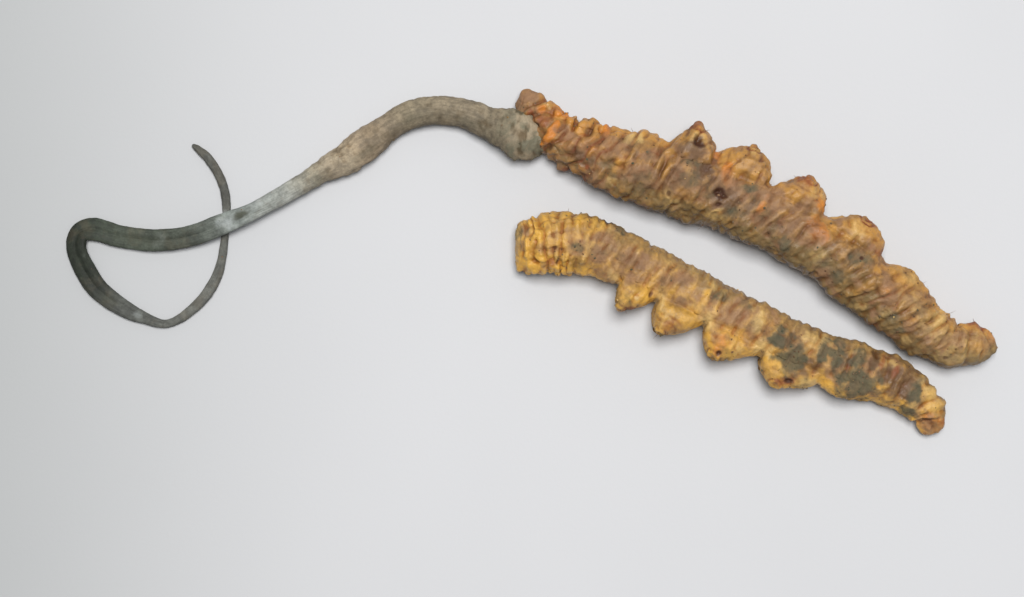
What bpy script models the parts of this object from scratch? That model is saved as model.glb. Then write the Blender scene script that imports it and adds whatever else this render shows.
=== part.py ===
"""A loose pair of dried cordyceps, lying side by side on their flanks.

The large one keeps the stalk that grew out behind its head; the small one has none.
Lengths in the tables are millimetres, +Z is up, and the larvae's heads point to -X.
"""

import math
from collections import namedtuple

import bpy
import numpy as np

MM = 0.001

# Driving dimensions, in millimetres
CUT_GAP = 0.45  # clearance that the stalk keeps round the plain tube of the large one's neck
PRESS = 0.25  # how far the weight and the drying have flattened each underside
RING_SLOPE = 0.42  # depth of the groove between two skin rings, as a share of half a ring's length
RING_CHANGE = 0.3  # share by which that depth grows and shrinks along the body
RING_CHANGE_RATE = 7.3  # how fast it does so, in radians for each segment
LUMP_HEIGHT = 0.13  # slow, uneven swelling of the dried skin
LUMP_RATES = (4.1, 2.7)  # how fast it changes along the body, in radians for each segment
NOTCH_SHIFT = 0.08  # how far behind the border of two segments a notch lies, in segments
BLENDED_LEG = 0.5  # a leg that reaches this far has its skin rings nearly smoothed away

# How much of the skin's relief is pressed or stretched away, as shares
RINGS_LOST_UNDER = 0.7
RINGS_LOST_AT_BELLY = 0.4
RINGS_LOST_ON_LEGS = 0.7
DRAW_LOST_UNDER = 0.6

# Legs stand in two rows, at these angles from straight up towards the belly's side
NEAR_ROW = math.radians(66)
FAR_ROW = math.radians(124)
PROLEG_SPREAD = math.radians(34)  # half the angle that a proleg covers
LEG_SPREAD = math.radians(26)
KNOB_SIZE = 0.35  # share of a proleg's length and width that the knob on its end covers
KNOB_SHARE = 0.12  # share of its reach that is the knob

# A larva's prolegs: their lean to the tail as a share of their reach, how far they spread to the
# head and to the tail in body segments, and how hollow those two flanks are.
Prolegs = namedtuple("Prolegs", "lean front back front_hollow back_hollow")
LARGE_PROLEGS = Prolegs(0.08, 0.60, 0.44, 2.40, 0.45)
SMALL_PROLEGS = Prolegs(-0.14, 0.36, 0.58, 0.50, 0.85)
SHORT_LEGS = Prolegs(0.0, 0.42, 0.42, 0.55, 0.55)

LARGE_SIDES = 20
SMALL_SIDES = 18
STALK_SIDES = 12
STALK_ROWS = 86
NECK_END = 5  # the cut for the neck runs from the mouth to this row of the table
NECK_ROWS = 14

# One row for each body segment, from the mouth to the tail: the middle of the segment, half its
# width and height, how far its underside is lifted, its number of skin rings, how far its stubby
# prolegs and its short jointed legs reach out of the body, and how deep the notch behind them is.
Segment = namedtuple("Segment", "name x y half_width half_height lift rings proleg leg notch")

LARGE_LARVA = (
    Segment("mouth", -1.35, 14.62, 0.80, 0.72, 0.95, 1, 0.0, 0.0, 0.00),
    Segment("head", -0.25, 14.10, 1.40, 1.35, 0.50, 2, 0.0, 0.0, 0.00),
    Segment("thorax_1", 0.98, 12.85, 1.65, 1.60, 0.25, 2, 0.0, 0.30, 0.00),
    Segment("thorax_2", 2.42, 11.50, 2.05, 2.00, 0.10, 3, 0.0, 0.55, 0.00),
    Segment("thorax_3", 4.45, 10.44, 2.50, 2.35, 0.00, 3, 0.0, 0.55, 0.00),
    Segment("abdomen_1", 6.90, 9.49, 2.85, 2.65, 0.00, 3, 0.0, 0.0, 0.00),
    Segment("abdomen_2", 9.70, 8.64, 3.20, 2.90, 0.00, 4, 0.0, 0.0, 0.25),
    Segment("abdomen_3", 13.45, 7.59, 3.30, 3.05, 0.00, 5, 2.05, 0.0, 0.00),
    Segment("abdomen_4", 18.00, 6.04, 3.35, 3.10, 0.00, 5, 1.90, 0.0, 0.95),
    Segment("abdomen_5", 22.75, 3.74, 3.35, 3.10, 0.00, 5, 1.50, 0.0, 1.05),
    Segment("abdomen_6", 27.65, 0.74, 3.20, 3.00, 0.00, 5, 1.15, 0.0, 0.90),
    Segment("abdomen_7", 32.30, -3.11, 3.00, 2.80, 0.00, 4, 0.25, 0.0, 0.00),
    Segment("abdomen_8", 35.40, -5.91, 2.55, 2.40, 0.00, 3, 0.0, 0.0, 0.00),
    Segment("abdomen_9", 37.90, -7.36, 2.10, 2.00, 0.05, 2, 0.0, 0.0, 0.00),
    Segment("abdomen_10", 40.20, -7.16, 1.80, 1.70, 0.25, 2, 0.40, 0.0, 0.00),
    Segment("tail", 41.75, -6.61, 0.85, 0.80, 0.90, 1, 0.0, 0.0, 0.00),
)

SMALL_LARVA = (
    Segment("mouth", -1.45, 1.64, 1.95, 1.60, 0.20, 1, 0.0, 0.0, 0.00),
    Segment("head", -0.75, 1.64, 2.30, 2.05, 0.05, 2, 0.0, 0.0, 0.00),
    Segment("thorax_1", 0.40, 1.74, 2.55, 2.35, 0.00, 2, 0.0, 0.25, 0.00),
    Segment("thorax_2", 1.85, 1.94, 2.75, 2.50, 0.00, 2, 0.0, 0.25, 0.00),
    Segment("thorax_3", 3.45, 1.99, 2.80, 2.55, 0.00, 3, 0.0, 0.25, 0.00),
    Segment("abdomen_1", 5.30, 1.64, 2.70, 2.50, 0.00, 3, 0.0, 0.0, 0.00),
    Segment("abdomen_2", 7.45, 0.79, 2.55, 2.40, 0.00, 3, 0.0, 0.0, 0.25),
    Segment("abdomen_3", 10.00, -0.51, 2.50, 2.30, 0.00, 4, 2.00, 0.0, 0.50),
    Segment("abdomen_4", 13.70, -2.46, 2.50, 2.30, 0.00, 5, 2.40, 0.0, 0.50),
    Segment("abdomen_5", 18.25, -4.81, 2.50, 2.30, 0.00, 5, 1.90, 0.0, 0.50),
    Segment("abdomen_6", 23.40, -7.51, 2.50, 2.30, 0.00, 5, 1.55, 0.0, 0.25),
    Segment("abdomen_7", 28.30, -9.21, 2.45, 2.25, 0.00, 4, 0.45, 0.0, 0.00),
    Segment("abdomen_8", 31.75, -10.26, 2.35, 2.10, 0.00, 3, 0.0, 0.0, 0.00),
    Segment("abdomen_9", 34.30, -11.61, 2.10, 1.85, 0.00, 2, 0.0, 0.0, 0.00),
    Segment("abdomen_10", 35.95, -13.56, 1.60, 1.40, 0.10, 2, 0.25, 0.0, 0.00),
    Segment("tail", 35.60, -15.36, 0.65, 0.60, 0.50, 1, 0.0, 0.0, 0.00),
)

# The stalk's centre line, from the crust at the neck to the tip: place, half the width and
# thickness of its section there, and how far the section is rolled, in degrees.
Section = namedtuple("Section", "x y z half_width half_thickness roll")

STALK = (
    Section(1.55, 11.75, 1.60, 1.00, 0.80, 0),
    Section(0.45, 11.60, 1.65, 2.00, 1.35, 0),
    Section(-0.75, 11.75, 1.80, 2.35, 1.65, 0),
    Section(-2.05, 12.12, 1.75, 2.00, 1.60, 0),
    Section(-3.70, 12.70, 1.45, 1.50, 1.32, 0),
    Section(-5.85, 13.59, 1.25, 1.35, 1.15, 0),
    Section(-8.55, 13.94, 1.20, 1.30, 1.12, 0),
    Section(-11.05, 13.44, 1.20, 1.30, 1.12, 0),
    Section(-12.85, 12.39, 1.15, 1.25, 1.08, 0),
    Section(-15.15, 10.64, 1.25, 1.55, 1.20, 0),
    Section(-16.70, 9.49, 1.20, 1.40, 1.10, 0),
    Section(-18.10, 8.84, 1.10, 1.20, 0.90, 5),
    Section(-19.75, 7.84, 1.15, 0.95, 0.72, 10),
    Section(-22.60, 6.14, 1.25, 0.90, 0.52, 20),
    Section(-25.30, 4.69, 1.40, 0.88, 0.42, 25),
    Section(-27.80, 3.64, 1.45, 0.95, 0.38, 0),
    Section(-30.70, 2.59, 1.20, 0.97, 0.38, -15),
    Section(-33.85, 2.19, 0.80, 1.00, 0.38, -5),
    Section(-37.20, 2.54, 0.50, 1.00, 0.38, 0),
    Section(-39.50, 3.20, 0.48, 1.05, 0.40, 8),
    Section(-40.85, 2.85, 0.62, 0.96, 0.46, 14),
    Section(-41.15, 1.40, 0.66, 0.98, 0.48, 18),
    Section(-40.35, -0.55, 0.55, 1.00, 0.45, 12),
    Section(-39.15, -2.31, 0.45, 0.92, 0.42, 0),
    Section(-37.00, -3.91, 0.38, 0.80, 0.38, -5),
    Section(-34.65, -5.01, 0.33, 0.50, 0.35, 0),
    Section(-33.00, -5.36, 0.30, 0.38, 0.32, 0),
    Section(-31.20, -4.46, 0.30, 0.43, 0.32, 0),
    Section(-29.40, -2.66, 0.30, 0.50, 0.32, 0),
    Section(-28.25, -0.41, 0.30, 0.43, 0.32, 0),
    Section(-27.80, 2.19, 0.28, 0.34, 0.30, 0),
    Section(-27.60, 5.09, 0.28, 0.37, 0.30, 0),
    Section(-28.00, 7.39, 0.30, 0.40, 0.32, 0),
    Section(-29.15, 9.49, 0.32, 0.42, 0.34, 0),
    Section(-30.70, 10.89, 0.32, 0.36, 0.32, 0),
)
TIP_ROUNDING = 0.9  # length of the stalk's tip that rounds off, in table rows
TIP_BLUNTNESS = 0.03  # square of the share of the width that is left at the very end


def clear_scene():
    for thing in list(bpy.data.objects):
        bpy.data.objects.remove(thing)


def smooth_through(rows, at):
    """The rows' values on a Catmull-Rom curve, at row numbers that may be fractions."""
    rows = np.asarray(rows, float)
    last = len(rows) - 1
    at = np.clip(at, 0, last)
    start = np.minimum(at.astype(int), last - 1)
    part = (at - start)[:, None]
    before = rows[np.maximum(start - 1, 0)]
    here = rows[start]
    after = rows[start + 1]
    beyond = rows[np.minimum(start + 2, last)]
    return 0.5 * (
        2 * here
        + (after - before) * part
        + (2 * before - 5 * here + 4 * after - beyond) * part**2
        + (3 * here - before - 3 * after + beyond) * part**3
    )


def unit(vectors):
    return vectors / np.linalg.norm(vectors, axis=-1, keepdims=True)


def swell(distance):
    """1 in the middle, with a blunt top, falling to 0 at a distance of 1."""
    return np.clip(1 - distance**2, 0, 1) ** 0.55


def headings(line):
    """The direction of travel at each point of a line."""
    return unit(np.gradient(line, axis=0))


def ring_rows(segments):
    """Row numbers of the grooves and crests of every skin ring, and 1 for a groove or 0 for a crest."""
    last = len(segments) - 1
    at, groove = [0.0], [0.0]
    for number, segment in enumerate(segments):
        for ring in range(segment.rings):
            start = number - 0.5 + ring / segment.rings
            for place, is_groove in ((start, 1.0), (start + 0.5 / segment.rings, 0.0)):
                if 0 < place < last:
                    at.append(place)
                    groove.append(is_groove)
    return np.array(at + [last]), np.array(groove + [0.0])


class Tube:
    """The plain tube of a larva's body, with no relief, at chosen rows of its table."""

    def __init__(self, segments, rows, belly_left):
        table = [(s.x, s.y, s.half_width**2, s.half_height**2, s.lift) for s in segments]
        x, y, width_squared, height_squared, lift = smooth_through(table, rows).T
        self.width = np.sqrt(width_squared)[:, None]
        self.height = np.sqrt(height_squared)[:, None]
        self.middle = np.stack([x, y, self.height[:, 0] + lift - PRESS], axis=1)
        self.forward = headings(self.middle * (1, 1, 0))
        self.step = np.linalg.norm(np.gradient(self.middle, axis=0), axis=1)
        left = np.stack([-self.forward[:, 1], self.forward[:, 0], 0 * x], axis=1)
        self.belly_side = left if belly_left else -left

    def ring(self, angle, relief):
        """Points at these angles from straight up, standing out of the tube by the relief."""
        sideways = np.sin(angle) * (self.width + relief)
        upward = np.cos(angle) * (self.height + relief)
        across = sideways[..., None] * self.belly_side[:, None]
        return self.middle[:, None] + across + upward[..., None] * (0, 0, 1)


def legs_at(segments, prolegs, at, angle):
    """How far the legs stand out, in two rows along the belly: blunt swellings with a knob."""
    legs = np.zeros_like(angle)
    for number, segment in enumerate(segments):
        if segment.proleg:
            reach, shape, spread = segment.proleg, prolegs, PROLEG_SPREAD
        elif segment.leg:
            reach, shape, spread = segment.leg, SHORT_LEGS, LEG_SPREAD
        else:
            continue
        ahead = at < number
        along = (at - number) / np.where(ahead, shape.front, shape.back)
        hollow = np.where(ahead, shape.front_hollow, shape.back_hollow)
        flanks = np.clip(1 - along**2, 0, 1) ** hollow
        for row_angle in (NEAR_ROW, FAR_ROW):
            aside = (angle - row_angle) / spread
            knob = swell(np.hypot(along, aside) / KNOB_SIZE)
            height = (1 - KNOB_SHARE) * flanks * swell(aside) + KNOB_SHARE * knob
            legs = np.maximum(legs, reach * height)
    return legs


def skin_relief(segments, prolegs, at, groove, step, angle):
    """How far the skin stands out of its plain tube, and how far of that is leg, in millimetres.

    Rows run along the body and columns round it; the angle is 0 at the top, a quarter turn at
    the belly's side and three quarters at the back's. The step is the length between two rows.
    """
    belly = np.clip(np.sin(angle), 0, 1) ** 2
    under = np.clip(-np.cos(angle), 0, 1) ** 2
    legs = legs_at(segments, prolegs, at, angle)
    on_leg = np.clip(legs / BLENDED_LEG, 0, 1)
    depth = RING_SLOPE * step * (1 - RING_CHANGE + RING_CHANGE * np.sin(RING_CHANGE_RATE * at))
    rings = -depth * groove * (1 - RINGS_LOST_UNDER * under) * (1 - RINGS_LOST_AT_BELLY * belly)
    rings = rings * (1 - RINGS_LOST_ON_LEGS * on_leg)
    first, second = LUMP_RATES
    lumps = LUMP_HEIGHT * np.sin(first * at + 2 * angle) * np.cos(second * at - 3 * angle)
    behind = np.maximum(at - NOTCH_SHIFT, 0)
    notch = np.array([s.notch for s in segments])[behind.astype(int)]
    drawn_in = -notch * np.sin(math.pi * behind) ** 4 * belly * (1 - DRAW_LOST_UNDER * under)
    return rings + lumps * (1 - under) + drawn_in + legs, legs


def around(sides, rows):
    """The same evenly spaced angles for every row."""
    return np.broadcast_to(np.arange(sides) * 2 * math.pi / sides, (rows, sides))


def larva_points(segments, prolegs, belly_left, sides):
    """Rows of points of a larva's skin, each row a ring round the body."""
    rows, groove = ring_rows(segments)
    tube = Tube(segments, rows, belly_left)
    angle = around(sides, len(rows))
    at, groove, step = rows[:, None], groove[:, None], tube.step[:, None]
    relief, legs = skin_relief(segments, prolegs, at, groove, step, angle)
    lean = (prolegs.lean * legs)[..., None] * tube.forward[:, None]
    points = tube.ring(angle, relief) + lean
    points[..., 2] = np.maximum(points[..., 2], 0)
    return points


def stalk_points():
    """Rows of points of the stalk's skin, from the neck to the tip."""
    rows = np.linspace(0, len(STALK) - 1, STALK_ROWS)
    table = [(s.x, s.y, s.z, s.half_width, s.half_thickness, math.radians(s.roll)) for s in STALK]
    x, y, z, width, thickness, roll = smooth_through(table, rows).T
    to_tip = np.clip((len(STALK) - 1 - rows) / TIP_ROUNDING, 0, 1)
    rounding = np.sqrt(np.clip(1 - (1 - to_tip) ** 2, TIP_BLUNTNESS, 1))
    middle = np.stack([x, y, z], axis=1)
    forward = headings(middle * (1, 1, 0))
    left = np.stack([-forward[:, 1], forward[:, 0], 0 * x], axis=1)
    up = np.array([0.0, 0.0, 1.0])
    across = np.cos(roll)[:, None] * left + np.sin(roll)[:, None] * up
    through = -np.sin(roll)[:, None] * left + np.cos(roll)[:, None] * up
    angle = around(STALK_SIDES, STALK_ROWS)
    out = (width * rounding)[:, None] * np.cos(angle)
    over = (thickness * rounding)[:, None] * np.sin(angle)
    points = middle[:, None] + out[..., None] * across[:, None] + over[..., None] * through[:, None]
    points[..., 2] = np.maximum(points[..., 2], 0)
    return points


def closed_tube(name, points):
    """A closed mesh object through rows of points, with a fan of faces over each end."""
    count, sides = points.shape[:2]
    ends = [points[0].mean(axis=0), points[-1].mean(axis=0)]
    vertices = np.concatenate([points.reshape(-1, 3), ends]) * MM
    first_pole, last_pole = count * sides, count * sides + 1
    faces = []
    for row in range(count - 1):
        for side in range(sides):
            turn = (side + 1) % sides
            here, there = row * sides, (row + 1) * sides
            faces.append((here + side, here + turn, there + turn, there + side))
    for side in range(sides):
        turn = (side + 1) % sides
        last = (count - 1) * sides
        faces.append((first_pole, turn, side))
        faces.append((last_pole, last + side, last + turn))
    mesh = bpy.data.meshes.new(name)
    mesh.from_pydata(vertices.tolist(), [], faces)
    turn_outwards(mesh)
    mesh.shade_smooth()
    thing = bpy.data.objects.new(name, mesh)
    bpy.context.scene.collection.objects.link(thing)
    return thing


def turn_outwards(mesh):
    """Flips the faces of a closed mesh whose volume comes out negative."""
    mesh.calc_loop_triangles()
    corners = np.array([v.co for v in mesh.vertices])
    a, b, c = (corners[[t.vertices[k] for t in mesh.loop_triangles]] for k in range(3))
    if np.einsum("ij,ij->i", a, np.cross(b, c)).sum() < 0:
        mesh.flip_normals()


def finish(thing, colour, roughness):
    """Gives an object its own plain material."""
    material = bpy.data.materials.new(thing.name)
    material.use_nodes = True
    shader = material.node_tree.nodes["Principled BSDF"]
    shader.inputs["Base Color"].default_value = (*colour, 1.0)
    shader.inputs["Roughness"].default_value = roughness
    shader.inputs["Metallic"].default_value = 0.0
    thing.data.materials.append(material)


def make_large_larva():
    points = larva_points(LARGE_LARVA, LARGE_PROLEGS, True, LARGE_SIDES)
    body = closed_tube("large_larva", points)
    finish(body, (0.36, 0.21, 0.10), 0.85)


def make_small_larva():
    points = larva_points(SMALL_LARVA, SMALL_PROLEGS, False, SMALL_SIDES)
    body = closed_tube("small_larva", points)
    finish(body, (0.50, 0.30, 0.10), 0.80)


def make_stalk():
    """The stalk, whose crust at the foot is hollowed to fit the large larva's neck."""
    stalk = closed_tube("stalk", stalk_points())
    finish(stalk, (0.16, 0.15, 0.12), 0.85)
    neck = Tube(LARGE_LARVA, np.linspace(0, NECK_END, NECK_ROWS), belly_left=True)
    cutter = closed_tube("neck_cutter", neck.ring(around(LARGE_SIDES, NECK_ROWS), CUT_GAP))
    cutter.hide_render = True
    cutter.display_type = "WIRE"
    cut = stalk.modifiers.new("neck", "BOOLEAN")
    cut.operation = "DIFFERENCE"
    cut.solver = "EXACT"
    cut.object = cutter


def main():
    clear_scene()
    make_large_larva()
    make_small_larva()
    make_stalk()


main()
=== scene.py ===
"""A pair of dried cordyceps: their wrinkled skins, the stalk, soil, hairs, light and camera.

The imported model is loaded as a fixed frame. Each of its three solids is replaced by a piece with
the skin that the photograph shows, swept along the same tables. Lengths in the tables are
millimetres, +Z is up, and the larvae's heads point to -X.
"""

import itertools
import math
from collections import namedtuple

import bmesh
import bpy
import numpy as np
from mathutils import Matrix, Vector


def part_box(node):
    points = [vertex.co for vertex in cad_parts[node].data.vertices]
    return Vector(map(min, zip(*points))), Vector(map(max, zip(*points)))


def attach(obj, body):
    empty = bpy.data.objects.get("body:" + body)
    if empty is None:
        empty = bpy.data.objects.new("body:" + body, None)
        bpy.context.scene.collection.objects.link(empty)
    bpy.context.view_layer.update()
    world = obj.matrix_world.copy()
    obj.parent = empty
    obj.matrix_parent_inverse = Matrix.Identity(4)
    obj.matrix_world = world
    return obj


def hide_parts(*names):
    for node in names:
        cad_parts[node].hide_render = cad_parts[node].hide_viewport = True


bl_info = {
    "name": "Dried cordyceps pair",
    "version": (1, 0, 0),
    "blender": (4, 5, 0),
    "location": "3D View > Sidebar > Cordyceps",
    "description": "Builds a loose pair of dried cordyceps with their skin, stalk and soil",
    "category": "Object",
}

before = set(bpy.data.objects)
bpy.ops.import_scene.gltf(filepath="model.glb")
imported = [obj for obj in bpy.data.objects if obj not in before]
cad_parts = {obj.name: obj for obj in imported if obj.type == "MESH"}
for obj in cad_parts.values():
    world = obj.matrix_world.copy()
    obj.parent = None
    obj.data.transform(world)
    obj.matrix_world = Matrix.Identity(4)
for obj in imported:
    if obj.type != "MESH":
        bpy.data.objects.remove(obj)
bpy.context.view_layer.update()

MM = 0.001
STAINS = ("ochre", "amber", "rust", "cream", "mauve", "olive", "umber", "soil", "dark")
PALE_STAINS = ("cream", "ochre")
MAUVE_THINNED = 0.45  # share of the mauve film that a full pale mark takes away

# The plain bodies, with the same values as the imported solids
PRESS = 0.25  # how far the weight and the drying have flattened each underside
LUMP_HEIGHT = 0.13
LUMP_RATES = (4.1, 2.7)
NOTCH_SHIFT = 0.08  # how far behind the border of two segments a notch lies, in segments
DRAW_LOST_UNDER = 0.6
NEAR_ROW = math.radians(66)  # the two rows of legs, from straight up towards the belly's side
FAR_ROW = math.radians(124)
PROLEG_SPREAD = math.radians(34)
LEG_SPREAD = math.radians(26)
KNOB_SIZE = 0.35  # share of a proleg's length and width that the knob on its end covers
KNOB_SHARE = 0.12  # share of its reach that is the knob

# A larva's prolegs: their lean to the tail as a share of their reach, how far they spread to the
# head and to the tail in body segments, and how hollow those two flanks are.
Prolegs = namedtuple("Prolegs", "lean front back front_hollow back_hollow")
LARGE_PROLEGS = Prolegs(0.08, 0.60, 0.44, 2.40, 0.45)
SMALL_PROLEGS = Prolegs(-0.14, 0.36, 0.58, 0.50, 0.85)
SHORT_LEGS = Prolegs(0.0, 0.42, 0.42, 0.55, 0.55)

# One row for each body segment: the mouth, the head, three of the thorax, ten of the abdomen and
# the tail. It has the middle of the segment, half its width and height, how far its underside is
# lifted, its number of skin rings, how far its stubby prolegs and its short jointed legs reach out
# of the body, and how deep the notch behind them is.
Segment = namedtuple("Segment", "x y half_width half_height lift rings proleg leg notch", defaults=(0, 0, 0))

# The stalk's centre line, from the crust at the neck to the tip: place, half the width and
# thickness of its section there, and how far the section is rolled, in degrees.
Section = namedtuple("Section", "x y z half_width half_thickness roll", defaults=(0,))

# Stains and bumps on the upper sides: the stain, its middle, half its length and width, the turn
# of its length from +X in degrees, its strength, and how far it stands out of the skin.
Mark = namedtuple("Mark", "stain x y half_length half_width turn strength rise", defaults=(0,))


def table(kind, *rows):
    return [kind(*row) for row in rows]


def marks(*groups):
    """Marks in groups of one stain. The order counts: a pale mark thins the mauve under it."""
    return [Mark(stain, *row) for stain, *rows in groups for row in rows]


LARGE_LARVA = table(
    Segment,
    (-1.35, 14.62, 0.8, 0.72, 0.95, 1), (-0.25, 14.1, 1.4, 1.35, 0.5, 2),
    (0.98, 12.85, 1.65, 1.6, 0.25, 2, 0, 0.3), (2.42, 11.5, 2.05, 2, 0.1, 3, 0, 0.55),
    (4.45, 10.44, 2.5, 2.35, 0, 3, 0, 0.55), (6.9, 9.49, 2.85, 2.65, 0, 3),
    (9.7, 8.64, 3.2, 2.9, 0, 4, 0, 0, 0.25), (13.45, 7.59, 3.3, 3.05, 0, 5, 2.05),
    (18, 6.04, 3.35, 3.1, 0, 5, 1.9, 0, 0.95), (22.75, 3.74, 3.35, 3.1, 0, 5, 1.5, 0, 1.05),
    (27.65, 0.74, 3.2, 3, 0, 5, 1.15, 0, 0.9), (32.3, -3.11, 3, 2.8, 0, 4, 0.25),
    (35.4, -5.91, 2.55, 2.4, 0, 3), (37.9, -7.36, 2.1, 2, 0.05, 2), (40.2, -7.16, 1.8, 1.7, 0.25, 2, 0.4),
    (41.75, -6.61, 0.85, 0.8, 0.9, 1),
)
SMALL_LARVA = table(
    Segment,
    (-1.45, 1.64, 1.95, 1.6, 0.2, 1), (-0.75, 1.64, 2.3, 2.05, 0.05, 2),
    (0.4, 1.74, 2.55, 2.35, 0, 2, 0, 0.25), (1.85, 1.94, 2.75, 2.5, 0, 2, 0, 0.25),
    (3.45, 1.99, 2.8, 2.55, 0, 3, 0, 0.25), (5.3, 1.64, 2.7, 2.5, 0, 3),
    (7.45, 0.79, 2.55, 2.4, 0, 3, 0, 0, 0.25), (10, -0.51, 2.5, 2.3, 0, 4, 2, 0, 0.5),
    (13.7, -2.46, 2.5, 2.3, 0, 5, 2.4, 0, 0.5), (18.25, -4.81, 2.5, 2.3, 0, 5, 1.9, 0, 0.5),
    (23.4, -7.51, 2.5, 2.3, 0, 5, 1.55, 0, 0.25), (28.3, -9.21, 2.45, 2.25, 0, 4, 0.45),
    (31.75, -10.26, 2.35, 2.1, 0, 3), (34.3, -11.61, 2.1, 1.85, 0, 2),
    (35.95, -13.56, 1.6, 1.4, 0.1, 2, 0.25), (35.6, -15.36, 0.65, 0.6, 0.5, 1),
)
STALK = table(
    Section,
    (1.55, 11.75, 1.6, 1, 0.8), (0.45, 11.6, 1.65, 2, 1.35), (-0.75, 11.75, 1.8, 2.35, 1.65),
    (-2.05, 12.12, 1.75, 2, 1.6), (-3.7, 12.7, 1.45, 1.5, 1.32), (-5.85, 13.59, 1.25, 1.35, 1.15),
    (-8.55, 13.94, 1.2, 1.3, 1.12), (-11.05, 13.44, 1.2, 1.3, 1.12), (-12.85, 12.39, 1.15, 1.25, 1.08),
    (-15.15, 10.64, 1.25, 1.55, 1.2), (-16.7, 9.49, 1.2, 1.4, 1.1), (-18.1, 8.84, 1.1, 1.2, 0.9, 5),
    (-19.75, 7.84, 1.15, 0.95, 0.72, 10), (-22.6, 6.14, 1.25, 0.9, 0.52, 20),
    (-25.3, 4.69, 1.4, 0.88, 0.42, 25), (-27.8, 3.64, 1.45, 0.95, 0.38), (-30.7, 2.59, 1.2, 0.97, 0.38, -15),
    (-33.85, 2.19, 0.8, 1, 0.38, -5), (-37.2, 2.54, 0.5, 1, 0.38), (-39.5, 3.2, 0.48, 1.05, 0.4, 8),
    (-40.85, 2.85, 0.62, 0.96, 0.46, 14), (-41.15, 1.4, 0.66, 0.98, 0.48, 18),
    (-40.35, -0.55, 0.55, 1, 0.45, 12), (-39.15, -2.31, 0.45, 0.92, 0.42), (-37, -3.91, 0.38, 0.8, 0.38, -5),
    (-34.65, -5.01, 0.33, 0.5, 0.35), (-33, -5.36, 0.3, 0.38, 0.32), (-31.2, -4.46, 0.3, 0.43, 0.32),
    (-29.4, -2.66, 0.3, 0.5, 0.32), (-28.25, -0.41, 0.3, 0.43, 0.32), (-27.8, 2.19, 0.28, 0.34, 0.3),
    (-27.6, 5.09, 0.28, 0.37, 0.3), (-28, 7.39, 0.3, 0.4, 0.32), (-29.15, 9.49, 0.32, 0.42, 0.34),
    (-30.7, 10.89, 0.32, 0.36, 0.32),
)
TIP_ROUNDING = 0.9  # length of the stalk's tip that rounds off, in table rows

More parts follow.
